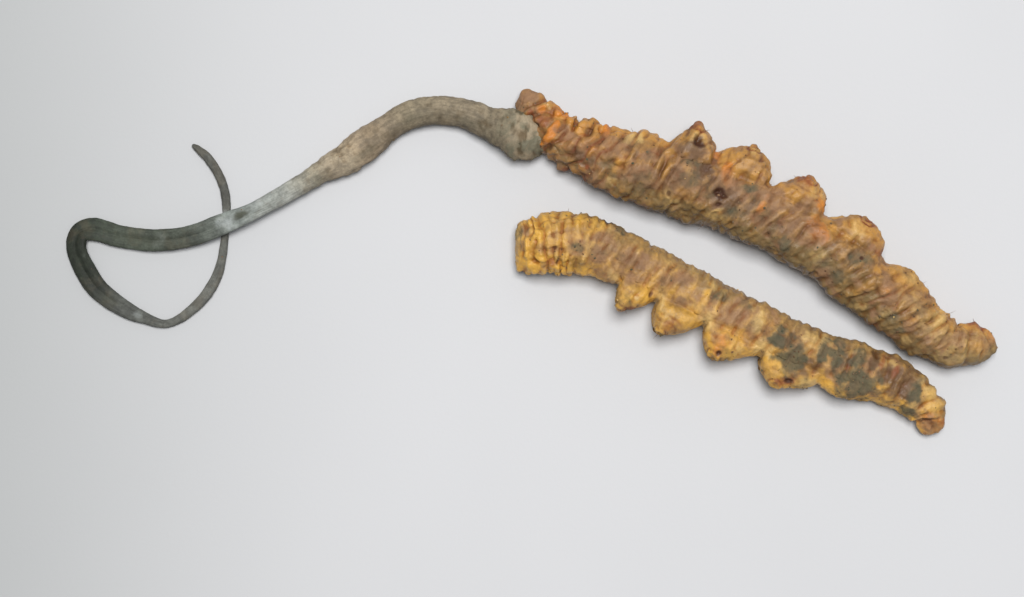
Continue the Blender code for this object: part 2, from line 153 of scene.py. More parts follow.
LARGE_MARKS = marks(
    ("mauve", (0.1, 15.1, 1.2, 0.7, 10, 1, 0.2)),
    # The cream marks at (29.3, -3.7), (31.3, -4.7), (33.3, -6.6), (12.5, 5.3) and (7.2, 7.4) lie on the
    # lower edge and are painted light there, lifting the shade that falls on it.
    ("cream", (1.26, 14.43, 0.54, 0.36, -40, 0.35, 0.08), (19.8, 10.02, 0.36, 0.36, 0, 0.5, 0.12),
     (16.55, 4.8, 0.5, 0.13, 15, 1, 0.08), (33.66, -1.05, 1.08, 0.72, -30, 0.45),
     (29.3, -3.7, 0.8, 0.4, 20, 0.55)),
    ("ochre", (4.5, 12.36, 1.08, 0.54, 78, 1, 0.25), (9.99, 11.55, 1.35, 0.54, -10, 0.6),
     (31.05, -0.33, 0.81, 0.54, 30, 0.8, 0.05), (29.43, -2.13, 1.8, 0.63, 25, 0.5, 0.18)),
    ("mauve", (3.6, 10.47, 0.9, 0.72, 20, 0.5, 0.2), (34.47, -3.12, 0.99, 0.81, 0, 0.6)),
    ("cream", (35.82, -5.76, 1.44, 1.08, -30, 0.75), (33.66, -3.24, 1.26, 0.9, -30, 0.5),
     (31.3, -4.7, 0.7, 0.4, 30, 0.55)),
    ("ochre", (8.1, 8.9, 1.35, 0.81, 60, 0.7), (33.75, -5.19, 0.9, 0.36, 35, 0.6, 0.05)),
    ("mauve", (10.71, 9.57, 1.26, 0.63, 15, 0.9, 0.03), (35.46, -6.63, 1.08, 0.54, 55, 0.5, 0.05)),
    ("cream", (12.15, 6.24, 0.45, 0.54, 0, 0.7, 0.08), (14.94, 10.92, 0.99, 0.86, -30, 0.8, 0.08),
     (37.8, -7.3, 2.2, 1.5, 0, 0.45), (40.5, -6.9, 1.53, 1.44, 0, 0.35), (12.5, 5.3, 0.7, 0.5, 0, 0.5),
     (36.3, -4.8, 0.8, 0.6, -40, 0.9), (33.3, -6.6, 0.7, 0.5, -30, 0.5), (7.2, 7.4, 0.8, 0.4, -25, 0.5)),
    ("ochre", (11.97, 8.04, 0.99, 0.45, 60, 0.8, 0.05), (13.41, 11.1, 0.81, 0.72, 0, 1),
     (40.23, -7.26, 1.08, 0.81, 0, 0.55)),
    ("mauve", (14.85, 9.75, 1.35, 0.54, 10, 0.7, 0.06)),
    ("cream", (9.2, 11.1, 1.1, 0.5, 0, 1)),
    ("ochre", (18.63, 8.49, 2.16, 1.44, -10, 0.55)),
    ("mauve", (19.17, 6.24, 1.35, 0.72, 20, 0.65, 0.03), (23.94, 4.98, 1.08, 0.45, 0, 0.9, 0.03),
     (23.31, 3.63, 1.35, 1.17, 20, 0.6)),
    ("cream", (27.18, 4.35, 0.54, 0.27, 0, 1, 0.1), (25.47, 0.84, 0.72, 0.63, 0, 0.45, 0.04),
     (28.8, 3, 1.2, 0.85, 0, 0.58), (25.4, 6.2, 0.8, 0.6, 0, 0.6), (16.5, 4.1, 1, 0.4, -15, 0.55)),
    ("ochre", (26.73, 3.18, 0.54, 0.36, 0, 1)),
    ("amber", (0.9, 13.8, 0.54, 0.36, 20, 0.9, 0.22), (2.79, 13.53, 0.81, 0.54, -20, 1, 0.28),
     (1.62, 11.55, 1.53, 0.45, 52, 1, 0.3), (6.75, 12, 0.81, 0.36, 68, 0.9, 0.22),
     (4.77, 9.57, 1.44, 0.32, 55, 0.4, 0.1), (16.47, 9.48, 0.81, 0.36, 80, 0.8),
     (20.34, 4.98, 1.35, 0.36, 58, 0.8, 0.05), (25.83, 5.25, 1.35, 0.54, -65, 0.7),
     (25.3, 3, 1.35, 0.8, -60, 0.9), (31.6, -2.31, 0.9, 0.72, 60, 0.35, 0.12),
     (41.49, -6.27, 0.9, 0.45, -70, 0.6), (17.3, 8.3, 0.9, 0.6, 60, 0.8), (17.4, 7.2, 0.6, 0.6, 0, 0.7)),
    ("rust", (0, 13.62, 0.36, 0.45, 0, 1), (0.9, 12.9, 0.81, 0.54, -30, 0.65, -0.22),
     (1.89, 13.26, 0.72, 0.22, 80, 0.35, -0.18), (2.88, 11.64, 1.26, 0.27, 52, 0.35, -0.2),
     (5.4, 12, 1.17, 0.22, 65, 0.3, -0.2), (3.15, 8.31, 0.45, 0.27, -30, 0.8),
     (4.59, 7.5, 0.63, 0.18, -30, 0.7), (5.49, 9.84, 1.98, 0.22, 55, 0.3, -0.15),
     (4.95, 8.58, 0.22, 0.22, 0, 1, 0.06), (14.49, 12.36, 0.81, 0.36, -10, 0.9, 0.1),
     (19.98, 10.74, 0.81, 0.36, -20, 0.9, 0.06), (20.52, 9.3, 0.54, 0.45, 0, 0.4, -0.15),
     (24.48, 7.5, 0.9, 0.54, -15, 0.9, 0.06), (30.33, 3.81, 0.63, 0.36, -40, 1, 0.08),
     (31.23, 1.02, 0.81, 0.45, 0, 0.6), (30.6, -3.21, 2.34, 0.22, 24, 0.35, -0.22),
     (32.58, -3.48, 1.8, 0.2, 62, 0.25, -0.15), (40.3, -5.25, 1.44, 0.54, -12, 1, 0.08)),
    ("umber", (12.6, 7.5, 1.8, 1.4, -20, 0.6), (15.5, 8.46, 1.4, 1.26, -20, 1),
     (14.4, 10.08, 1.62, 0.9, -10, 0.95), (16.9, 5.8, 1.7, 1.1, -20, 0.95),
     (20.88, 3.6, 2.25, 1.08, -25, 0.5), (23.6, 4.7, 1.62, 1.08, -20, 0.42), (25.3, 3, 1.35, 0.8, -60, 0.62),
     (19.4, 5.2, 0.9, 0.6, 20, 0.7), (4.5, 9.4, 1.6, 0.7, -25, 0.85), (36.3, -6.8, 0.7, 0.5, 0, 0.5),
     (30.3, -1.8, 0.8, 0.6, 0, 0.5)),
    ("soil", (8.1, 10.92, 0.7, 0.81, 0, 0.32), (9.9, 7.23, 0.99, 1.26, 0, 0.45, 0.03),
     (14.2, 8.85, 1.1, 0.45, -5, 0.7, 0.05), (13.95, 7.5, 1.17, 0.99, 0, 0.49, 0.04),
     (19.35, 6.65, 0.9, 0.45, 0, 0.75, 0.03), (17.82, 4.53, 1.08, 0.81, 20, 0.52, 0.03),
     (22.41, 1.56, 0.63, 0.72, 0, 0.75), (25.83, 0.21, 0.72, 0.54, 0, 0.45),
     (29, 0.4, 1.25, 0.95, 10, 0.62, 0.04), (27.18, -1.23, 1.08, 0.63, 30, 0.6),
     (31.95, -4.65, 0.81, 0.63, 0, 0.55, 0.05), (32.76, -6, 0.54, 0.36, 0, 0.68, 0.03),
     (37.98, -7.89, 0.81, 0.9, 0, 0.45)),
    ("dark", (0.36, 12.45, 0.45, 0.27, -40, 0.6, -0.25), (1.62, 10.29, 0.45, 0.36, 0, 0.7, -0.1),
     (12.15, 6.15, 0.2, 0.27, 0, 0.6, -0.12), (14.94, 10.92, 0.72, 0.56, -30, 1, -0.6),
     (15.66, 8.49, 0.9, 0.6, -20, 0.6), (16.7, 6.2, 0.5, 0.52, 20, 1, -0.45),
     (17.1, 5.9, 0.3, 0.14, -10, 0.7, -0.15), (16.56, 5.21, 0.32, 0.16, 15, 0.8, -0.25),
     (23.94, 8.04, 0.27, 0.18, 0, 0.6), (29.25, 0.48, 0.22, 0.22, 0, 0.9, -0.1),
     (36.99, -8.43, 0.27, 0.18, 0, 0.7, -0.05), (37.89, -7.62, 0.18, 0.18, 0, 0.7, -0.05)),
)
SMALL_MARKS = marks(
    ("cream", (-1.26, 2.55, 0.45, 0.81, 0, 0.6), (4.59, 0.48, 0.54, 0.45, 0, 0.5, 0.05),
     (25.4, -6.9, 0.9, 0.72, -20, 0.6, 0.03), (24.8, -10.9, 1.4, 0.7, -20, 1),
     (24.48, -6.63, 0.81, 0.36, 60, 0.7, 0.05), (26.82, -7.17, 0.81, 0.27, 72, 0.6, 0.04),
     (31.95, -8.97, 0.72, 0.22, 65, 0.5, 0.04), (35.64, -11.67, 1.71, 0.9, -55, 0.55),
     (32.3, -8.9, 0.8, 0.45, -20, 0.9), (26.2, -6.8, 0.9, 0.4, 70, 0.8), (35.2, -10.8, 0.8, 0.6, -55, 0.9),
     (34.3, -12.7, 0.6, 0.5, 0, 0.6)),
    ("ochre", (1.98, -0.15, 0.54, 0.45, 0, 0.7, 0.18), (2.97, 0.57, 0.54, 0.45, 0, 0.9, 0.2),
     (31.32, -10.77, 0.63, 0.22, 80, 0.9, 0.06), (35.91, -12.21, 1.44, 0.81, -50, 0.7)),
    ("mauve", (-0.54, 3.09, 0.81, 0.36, 85, 0.9)),
    ("ochre", (0.54, 2.64, 0.63, 0.54, 80, 1, 0.22), (1.53, 1.92, 0.63, 0.54, 30, 1, 0.25),
     (2.7, 2.1, 0.72, 0.54, 80, 1, 0.22), (0.9, 0.57, 0.63, 0.45, 0, 0.8, 0.2),
     (5.04, 3.6, 1.62, 0.9, -10, 1)),
    ("mauve", (5.94, 0.75, 1.17, 0.9, 80, 0.9, 0.02), (6.39, 2.37, 1.08, 0.63, 0, 0.9),
     (9.45, 0.3, 1.98, 1.1, -25, 0.9), (9.09, -1.32, 1.17, 0.72, 0, 0.9, 0.02)),
    ("cream", (7.4, -1.2, 1, 0.45, -61, 1, 0.06), (9.36, -3.03, 0.23, 0.23, 0, 1, 0.08)),
    ("ochre", (9.09, -2.94, 1.62, 1.08, 0, 1), (13.05, -4.2, 1.98, 1.8, -10, 1)),
    ("mauve", (13.41, -3.3, 0.99, 0.54, -10, 0.9), (13.8, -1.15, 1.17, 0.8, 0, 0.95)),
    ("cream", (15.84, -5.37, 0.72, 0.54, -60, 1, 0.03), (12.5, 0.2, 0.8, 0.5, -30, 0.65)),
    ("ochre", (15.12, -3.66, 1.44, 0.45, 62, 1, 0.06)),
    ("mauve", (12.15, -6.09, 0.45, 0.36, 0, 0.6), (18.3, -7.1, 0.7, 0.6, 0, 0.4),
     (18.09, -4.56, 1.62, 1.17, 0, 0.9, 0.02)),
    # The cream mark at (11.5, -3.3) lies in the notch by a proleg and is painted light there, lifting the
    # shade that falls in the notch.
    ("cream", (20.7, -7.5, 0.95, 0.75, 0, 1, 0.05), (20.25, -5.13, 0.63, 1.08, -20, 1, 0.03),
     (15.4, -4.7, 0.7, 0.6, 0, 0.9), (11.5, -3.3, 0.55, 0.9, 0, 1), (16.4, -1.8, 0.7, 0.5, -30, 0.7),
     (14.5, -0.8, 0.7, 0.5, -30, 0.7), (18.5, -7.7, 0.6, 0.5, 0, 0.6)),
    ("ochre", (21.69, -9.15, 1.62, 1.35, -50, 0.9)),
    ("amber", (16.92, -6.99, 0.99, 0.81, 80, 0.6), (36.09, -14.55, 1.35, 0.99, -20, 0.7)),
    ("rust", (1.26, 1.2, 0.9, 0.14, -10, 0.35, -0.15), (2.16, 2.73, 1.08, 0.14, 10, 0.3, -0.12),
     (1.8, 0.03, 0.36, 0.36, 0, 0.7), (8.64, -4.02, 0.81, 0.27, 0, 0.9),
     (12.33, -5.73, 0.72, 0.63, 0, 0.6, 0.1), (16.74, -7.89, 0.54, 0.45, 0, 0.6, 0.05),
     (18.81, -4.83, 0.72, 0.27, 60, 0.3, -0.08), (22.68, -10.5, 0.9, 0.45, 0, 0.9),
     (28.26, -9.15, 0.81, 0.27, 60, 0.6), (31.41, -8.7, 0.81, 0.27, 65, 0.8),
     (32.58, -9.51, 0.99, 0.27, 65, 0.7), (37.08, -14.37, 0.54, 0.45, 0, 0.6, 0.05)),
    ("umber", (8.4, 0.1, 2.6, 1.3, -25, 0.4), (27.9, -8.73, 1.35, 0.54, 72, 0.8),
     (30.6, -8.73, 1.26, 0.63, 72, 1), (33, -10.7, 2.2, 1.6, -25, 1), (22.5, -7, 1.2, 0.95, 20, 0.9),
     (23.4, -10.1, 0.9, 0.45, 0, 0.6), (36.3, -14.5, 1.08, 0.72, -20, 0.48), (4, 0.2, 1.3, 0.65, 0, 0.65),
     (25.1, -8.95, 1.25, 0.75, -10, 0.8), (13.2, -3.8, 1.6, 1.6, 0, 0.52), (9, -2.3, 1.1, 0.8, 0, 0.42),
     (31.3, -9.7, 0.8, 0.6, 0, 0.9), (33.2, -11.7, 0.8, 0.6, -25, 0.9), (24.2, -9.6, 0.8, 0.6, 0, 0.8),
     (4.1, 3.2, 1.2, 0.6, 0, 0.38), (13.4, -1.7, 0.7, 0.5, 0, 0.5)),
    ("soil", (-1.26, 2.91, 0.45, 0.81, 0, 0.6), (4.14, 1.56, 0.72, 0.54, 0, 0.7, 0.03),
     (8.1, 3, 0.63, 0.36, -40, 0.7), (11.61, -6.45, 0.36, 0.27, 0, 0.8),
     (16.83, -2.94, 0.81, 0.72, 0, 0.62, 0.02), (19.08, -3.57, 0.81, 0.54, -30, 0.5, 0.02),
     (21.95, -6.9, 1.1, 0.65, -45, 1, 0.05), (23.3, -8.4, 1.8, 1.53, 70, 1, 0.09),
     (26.1, -7.74, 1.17, 0.58, 72, 1, 0.03), (27.36, -8.1, 1.44, 0.58, 72, 1, 0.03),
     (29.2, -8.5, 1.1, 0.75, 70, 0.9, 0.03), (29.1, -10.6, 2.1, 1.62, -10, 1, 0.09),
     (34.4, -11.6, 1.1, 0.7, 60, 1, 0.03), (33.84, -13.29, 0.99, 0.45, -40, 1),
     (26.9, -7.8, 1.2, 0.65, -10, 0.9), (22.4, -5.8, 0.6, 0.5, 0, 0.8), (21.4, -6.7, 0.5, 0.5, 0, 1)),
    ("dark", (2.07, 1.38, 0.34, 0.2, 20, 0.65, -0.22), (2.34, 0.21, 0.45, 0.18, 75, 0.7, -0.25),
     (0.27, 0.21, 0.36, 0.27, 0, 0.5, -0.2), (6.84, 3.9, 0.63, 0.27, -12, 1, 0.02),
     (10.71, -2.67, 0.54, 0.22, 70, 0.7, -0.25), (16.74, -7.89, 0.29, 0.23, 0, 0.9, -0.25),
     (22.95, -10.5, 0.45, 0.27, 0, 1, -0.35), (35.91, -14.01, 0.99, 0.18, 12, 0.7, -0.2),
     (33.2, -11.7, 0.7, 0.45, -25, 0.5)),
)

# Mesh of the two skins
ROW_STEP = {"large": 0.097, "small": 0.086}  # length between two rows of points
COLUMNS = {"large": 180, "small": 176}
TOP_DENSITY = 0.3  # share by which the points crowd towards the upper side
CAP_ROWS = 18
FIRST_CAP_TURN = math.radians(3)  # where the outermost row of an end lies on its rounding
MEASURED_POINTS = 6000  # points at which a body's length is measured
END_ROUNDING = 0.6  # length over which the mouth and the tail close
NEIGHBOUR_ROWS = 5  # reach of the averages that tell crests from creases
NEIGHBOUR_COLUMNS = 4
TOP_BAND = 0.25  # depth below the solid's top in which the skin's relief is squeezed, and how much
TOP_SQUEEZE = 0.6
NOISE_GAIN = 1.7  # brings gradient noise to about -1 to 1
MARK_FADE = (1.55, 0.30)  # where a mark's stain ends and where it is full, as shares of its size
RIM_RADIUS = 0.46  # the disc on a proleg's end: its rim, the crease round it and its dimple
RIM_WIDTH = 0.15
CREASE_RADIUS = 0.74
CREASE_WIDTH = 0.10
DIMPLE_RADIUS = 0.28
ROOT_FOLD = 0.72  # length between the folds round a proleg's root
CREST_HEIGHT = 0.12  # how far a full crest stands over its surroundings, and a full crease under
CREASE_DEPTH = 0.16
STRAY_BRISTLES = 0.02  # share of the hairs that stands away from the prolegs' ends
RIDGES = ((0.75, 3.2, 0.9), (0.42, 2.2, 1.0))  # length and width of ridges, and share of the height


def linear(red, green, blue):
    """A colour read off a screen, from 0 to 255, as Blender's linear values."""
    shares = [value / 255 for value in (red, green, blue)]
    return tuple(s / 12.92 if s <= 0.04045 else ((s + 0.055) / 1.055) ** 2.4 for s in shares)


def smooth_through(rows, at):
    """The rows' values on a Catmull-Rom curve, at row numbers that may be fractions."""
    rows = np.asarray(rows, float)
    last = len(rows) - 1
    at = np.clip(at, 0, last)
    start = np.minimum(at.astype(int), last - 1)
    part = (at - start)[:, None]
    before = rows[np.maximum(start - 1, 0)]
    here = rows[start]
    after = rows[start + 1]
    beyond = rows[np.minimum(start + 2, last)]
    return 0.5 * (
        2 * here
        + (after - before) * part
        + (2 * before - 5 * here + 4 * after - beyond) * part**2
        + (3 * here - before - 3 * after + beyond) * part**3
    )


def smooth_step(start, end, value):
    """0 before the start and 1 after the end, with a soft change between them."""
    share = np.clip((value - start) / (end - start), 0, 1)
    return share * share * (3 - 2 * share)


def unit(vectors):
    return vectors / np.maximum(np.linalg.norm(vectors, axis=-1, keepdims=True), 1e-12)


def swell(distance):
    """1 in the middle, with a blunt top, falling to 0 at a distance of 1."""
    return np.clip(1 - distance**2, 0, 1) ** 0.55


def bell(distance):
    """1 in the middle, falling softly to 0."""
    return np.exp(-(distance**2))


def wave(turns):
    """0 at each whole number of turns and 1 half-way between them."""
    return 0.5 - 0.5 * np.cos(2 * math.pi * turns)


def window(value, start, full, falling, end):
    """1 from full to falling, and 0 before the start and after the end."""
    return smooth_step(start, full, value) * smooth_step(end, falling, value)


def headings(line):
    """The direction of travel at each point of a line."""
    return unit(np.gradient(line, axis=0))


def leftwards(forward):
    """The level directions to the left of the directions of travel."""
    return np.stack([-forward[:, 1], forward[:, 0], 0 * forward[:, 0]], axis=1)


class Noise:
    """Smooth and cellular patterns in space, the same on every run. Sizes are in millimetres."""

    CORNERS = tuple(itertools.product((0, 1), repeat=3))
    NEAR_CELLS = tuple(itertools.product((-1, 0, 1), repeat=3))

    def __init__(self, seed):
        draw = np.random.default_rng(seed)
        self.order = draw.permutation(256)
        self.arrows = unit(draw.normal(size=(256, 3)))
        self.seats = draw.random((256, 3))

    def pick(self, cell):
        x, y, z = np.moveaxis(cell & 255, -1, 0)
        return self.order[(self.order[(self.order[x] + y) & 255] + z) & 255]

    def smooth(self, points, size):
        """Gradient noise from about -1 to 1, with one swell for each length of size."""
        scaled = points / size
        cell = np.floor(scaled).astype(int)
        part = scaled - cell
        fade = part**3 * (part * (part * 6 - 15) + 10)
        total = np.zeros(points.shape[:-1])
        for corner in self.CORNERS:
            arrow = self.arrows[self.pick(cell + corner)]
            weight = np.prod(np.where(corner, fade, 1 - fade), axis=-1)
            total += weight * (arrow * (part - corner)).sum(axis=-1)
        return total * NOISE_GAIN

    def rough(self, points, size, octaves=3):
        """Smooth noise with finer and weaker copies of itself on top."""
        return sum(self.smooth(points + 7.3 * k, size / 2**k) / 2**k for k in range(octaves))

    def cells(self, points, size):
        """Distances to the nearest of scattered seats, in sizes."""
        scaled = points / size
        cell = np.floor(scaled).astype(int)
        nearest = np.full(points.shape[:-1], np.inf)
        for step in self.NEAR_CELLS:
            there = cell + step
            away = np.linalg.norm(there + self.seats[self.pick(there)] - scaled, axis=-1)
            nearest = np.minimum(nearest, away)
        return nearest


class Tube:
    """The plain tube of a larva's body, with no relief, at chosen rows of its table."""

    def __init__(self, segments, rows, belly_left):
        sections = [(s.x, s.y, s.half_width**2, s.half_height**2, s.lift) for s in segments]
        x, y, width_squared, height_squared, lift = smooth_through(sections, rows).T
        self.width = np.sqrt(width_squared)[:, None]
        self.height = np.sqrt(height_squared)[:, None]
        self.middle = np.stack([x, y, self.height[:, 0] + lift - PRESS], axis=1)
        self.forward = headings(self.middle * (1, 1, 0))
        left = leftwards(self.forward)
        self.belly_side = left if belly_left else -left

    def ring(self, angle, relief, rounding):
        """Points at these angles from straight up, standing out of the tube by the relief."""
        sideways = np.sin(angle) * (self.width + relief) * rounding
        upward = np.cos(angle) * (self.height + relief) * rounding
        across = sideways[..., None] * self.belly_side[:, None]
        return self.middle[:, None] + across + upward[..., None] * (0, 0, 1)


def evenly_spaced_rows(segments, step):
    """Row numbers at even steps along a body and round its two ends, and how far those close in."""
    dense = np.linspace(0, len(segments) - 1, MEASURED_POINTS)
    middle = smooth_through([(s.x, s.y) for s in segments], dense)
    length = np.concatenate([[0], np.cumsum(np.linalg.norm(np.diff(middle, axis=0), axis=1))])
    turn = np.linspace(FIRST_CAP_TURN, math.pi / 2, CAP_ROWS)
    start = END_ROUNDING * (1 - np.cos(turn))
    count = int((length[-1] - 2 * END_ROUNDING) / step)
    between = np.linspace(END_ROUNDING, length[-1] - END_ROUNDING, count)[1:-1]
    along = np.concatenate([start, between, length[-1] - start[::-1]])
    closing = np.concatenate([np.sin(turn), np.ones(len(between)), np.sin(turn)[::-1]])
    return np.interp(along, length, dense), closing[:, None]


def ring_phase(segments, at):
    """How many skin rings lie before each row: a whole number is a groove."""
    rings = np.array([s.rings for s in segments])
    before = np.concatenate([[0], np.cumsum(rings)])[:-1]
    number = np.clip(np.floor(at + 0.5).astype(int), 0, len(rings) - 1)
    return before[number] + (at - number + 0.5) * rings[number]


def ring_length(segments, at):
    """The length of one skin ring at each row, in millimetres."""
    middle = np.array([(s.x, s.y) for s in segments])
    gaps = np.linalg.norm(np.gradient(middle, axis=0), axis=1)
    lengths = gaps / np.array([s.rings for s in segments])
    return smooth_through(lengths[:, None], at[:, 0])


def legs_at(segments, prolegs, at, angle):
    """How far the legs stand out, in two rows along the belly: blunt swellings with a knob."""
    legs = np.zeros_like(angle)
    for number, segment in enumerate(segments):
        if segment.proleg:
            reach, shape, spread = segment.proleg, prolegs, PROLEG_SPREAD
        elif segment.leg:
            reach, shape, spread = segment.leg, SHORT_LEGS, LEG_SPREAD
        else:
            continue
        ahead = at < number
        along = (at - number) / np.where(ahead, shape.front, shape.back)
        hollow = np.where(ahead, shape.front_hollow, shape.back_hollow)
        flanks = np.clip(1 - along**2, 0, 1) ** hollow
        for row_angle in (NEAR_ROW, FAR_ROW):
            aside = (angle - row_angle) / spread
            knob = swell(np.hypot(along, aside) / KNOB_SIZE)
            height = (1 - KNOB_SHARE) * flanks * swell(aside) + KNOB_SHARE * knob
            legs = np.maximum(legs, reach * height)
    return legs


def plain_relief(segments, at, angle, legs):
    """The slow swellings and the drawn-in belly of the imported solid, in millimetres."""
    belly = np.clip(np.sin(angle), 0, 1) ** 2
    under = np.clip(-np.cos(angle), 0, 1) ** 2
    first, second = LUMP_RATES
    lumps = LUMP_HEIGHT * np.sin(first * at + 2 * angle) * np.cos(second * at - 3 * angle)
    behind = np.maximum(at - NOTCH_SHIFT, 0)
    notch = np.array([s.notch for s in segments])[behind.astype(int)]
    drawn_in = -notch * np.sin(math.pi * behind) ** 4 * belly * (1 - DRAW_LOST_UNDER * under)
    return lumps * (1 - under) + drawn_in + legs


def outward_normals(points, middle):
    """The directions that face out of rows of points round a body."""
    along = np.gradient(points, axis=0)
    round_it = np.roll(points, -1, axis=1) - np.roll(points, 1, axis=1)
    normals = unit(np.cross(along, round_it))
    inwards = (normals * (points - middle[:, None])).sum() < 0
    return -normals if inwards else normals


def averaged(field):
    """Each value's average over its near rows and columns."""
    for _ in range(2):
        rows = NEIGHBOUR_ROWS
        padded = np.pad(field, ((rows, rows), (0, 0)), mode="edge")
        field = sum(padded[k : k + len(field)] for k in range(2 * rows + 1)) / (2 * rows + 1)
        reach = range(-NEIGHBOUR_COLUMNS, NEIGHBOUR_COLUMNS + 1)
        field = sum(np.roll(field, k, axis=1) for k in reach) / len(reach)
    return field


def mark_distance(mark, points):
    """How far points lie from the middle of a mark, seen from above: 1 on its rim."""
    right, up = points[..., 0] - mark.x, points[..., 1] - mark.y
    turn = math.radians(mark.turn)
    along = (right * math.cos(turn) + up * math.sin(turn)) / mark.half_length
    aside = (up * math.cos(turn) - right * math.sin(turn)) / mark.half_width
    return np.hypot(along, aside)


class Skin:
    """The fine skin of one larva: rows of points round its body, and the stains on them."""

    def __init__(self, size, segments, prolegs, belly_left, seed):
        self.segments = segments
        self.noise = Noise(seed)
        self.other_noise = Noise(seed + 1)
        rows, self.closing = evenly_spaced_rows(segments, ROW_STEP[size])
        self.at = rows[:, None]
        self.tube = Tube(segments, rows, belly_left)
        turn = np.arange(COLUMNS[size]) * 2 * math.pi / COLUMNS[size]
        crowded = turn - TOP_DENSITY * np.sin(turn)
        self.angle = np.broadcast_to(crowded, (len(rows), COLUMNS[size]))
        self.legs = legs_at(segments, prolegs, self.at, self.angle)
        relief = plain_relief(segments, self.at, self.angle, self.legs)
        lean = (prolegs.lean * self.legs)[..., None] * self.tube.forward[:, None]
        self.base = self.tube.ring(self.angle, relief, self.closing) + lean
        self.normals = outward_normals(self.base, self.tube.middle)
        self.up_side = smooth_step(-0.35, 0.05, self.normals[..., 2])
        self.under = np.clip(-np.cos(self.angle), 0, 1) ** 2
        self.belly = np.clip(np.sin(self.angle), 0, 1) ** 2
        self.back = np.clip(-np.sin(self.angle), 0, 1)
        self.unbent = self.unbend()
        self.rise = np.zeros_like(self.legs)
        self.stains = {stain: np.zeros_like(self.legs) for stain in STAINS}

    def unbend(self):
        """Each point's place on a straight body: along it, up, and towards the belly's side."""
        steps = np.linalg.norm(np.diff(self.tube.middle, axis=0), axis=1)
        along = np.concatenate([[0], np.cumsum(steps)])[:, None] + 0 * self.angle
        up = self.tube.height * np.cos(self.angle)
        aside = self.tube.width * np.sin(self.angle)
        return np.stack([along, up, aside], axis=-1)

    def near(self, shift, size):
        """The first of two smooth patterns on the skin, moved by a shift."""
        return self.noise.smooth(self.base + shift, size)

    def far(self, shift, size):
        """The second of two smooth patterns on the skin, moved by a shift."""
        return self.other_noise.smooth(self.base + shift, size)

    def stain(self, name, cover):
        self.stains[name] = np.maximum(self.stains[name], cover)

    def add_rings(self, depth, slant):
        """The skin rings: rounded folds that wander, lean over and fade as they dry."""
        length = ring_length(self.segments, self.at)
        wander = 0.40 * self.near(0, 3.1) + 0.20 * self.far(0, 1.3)
        phase = ring_phase(self.segments, self.at) + wander - slant * self.unbent[..., 2] / length
        on_leg = np.clip(self.legs / 0.5, 0, 1)
        strength = np.clip(0.70 + 0.60 * self.near(40, 2.4), 0.15, 1.3)
        strength = strength * (1 - 0.55 * self.belly) * (1 - 0.7 * on_leg) * (1 - 0.6 * self.under)
        self.rise -= depth * length * strength * (1 - wave(phase)) ** 1.3
        fine = 2.15 * phase + 0.8 * self.far(11, 1.7)
        fine_strength = np.clip(0.5 + self.far(23, 2.2), 0, 1)
        fine_strength = fine_strength * (0.35 + 0.35 * self.back) * (1 - 0.5 * self.under)
        self.rise -= 0.42 * depth * length * fine_strength * (1 - wave(fine))
        border = (self.at - np.floor(self.at) - 0.5) / 0.09 + 0.8 * self.near(9, 2.0)
        self.rise -= 0.07 * bell(border) * (1 - self.under) * (1 - 0.7 * on_leg)

    def add_ridges(self, lean, height):
        """Soft ridges and fine wrinkles that run across the body and lean over."""
        along, up, aside = np.moveaxis(self.unbent, -1, 0)
        bent = along - lean * aside + 0.45 * self.near(17, 2.0)
        calm = np.clip(0.75 + 0.9 * self.near(260, 4.0), 0.25, 1.2)
        strength = calm * (1 - 0.3 * self.belly) * (1 - 0.5 * self.under)
        for number, (length, girth, share) in enumerate(RIDGES):
            place = np.stack([bent / length, up / girth, aside / girth], axis=-1) + 9 * number
            level = self.other_noise.smooth(place, 1.0)
            self.rise += share * height * strength * np.tanh(2.4 * level)

    def add_folds(self, length, girth, lean, height, where, dirt, amount):
        """Swollen folds that lie side by side across the body, with a darker stain in their creases: their
        own reddish brown, and painted shade.
        """
        bent = (self.unbent[..., 0] - lean * self.unbent[..., 2]) / length + 0.60 * self.near(0, 1.9)
        from_top = self.angle - 2 * math.pi * (self.angle > math.pi)
        over = from_top * self.tube.width / girth + 0.62 * np.floor(bent) + 0.50 * self.far(0, 1.6)
        fold = wave(bent)
        end = wave(over) ** 0.5
        uneven = 0.75 + 0.5 * self.near(200, 1.8)
        self.rise += height * where * (fold**0.6 * (0.22 + 0.78 * end) * uneven - 0.42)
        # Painted shade together with the creases' own reddish brown: the stain gathers where the folds dip.
        self.stain(dirt, amount * where * smooth_step(0.30, 0.0, fold) * np.clip(uneven, 0.5, 1))

    def add_lumps(self, height):
        """Uneven swellings, pock marks and a fine grain."""
        wide = self.noise.rough(self.base + 60, 2.6)
        self.rise += height * wide * (1 - 0.8 * self.under)
        self.rise += 0.22 * height * self.other_noise.rough(self.base + 5, 0.55, 2)
        pocks = smooth_step(0.22, 0.05, self.other_noise.cells(self.base, 1.5))
        self.rise -= 0.30 * height * pocks

    def add_feet(self, rust):
        """A disc with a rim and a dimple on the end of every proleg, and folds round its root."""
        for number, segment in enumerate(self.segments):
            if segment.proleg < 1:
                continue
            for row_angle in (NEAR_ROW, FAR_ROW):
                here = np.hypot((self.at - number) * 8, self.angle - row_angle).argmin()
                centre = self.base.reshape(-1, 3)[here]
                away = np.linalg.norm(self.base - centre, axis=-1) + 0.10 * self.near(0, 0.7)
                rim = bell((away - RIM_RADIUS) / RIM_WIDTH)
                crease = bell((away - CREASE_RADIUS) / CREASE_WIDTH)
                dimple = bell(away / DIMPLE_RADIUS)
                self.rise += 0.10 * rim - 0.10 * crease - 0.07 * dimple
                self.stain("rust", rust * np.maximum(crease, 0.8 * dimple))
                turns = away / ROOT_FOLD + 0.5 * self.near(77, 1.6)
                from_fold = np.abs(turns - np.floor(turns) - 0.5) * 2
                self.rise -= 0.10 * window(away, 0.8, 1.4, 1.9, 3.1) * from_fold**2

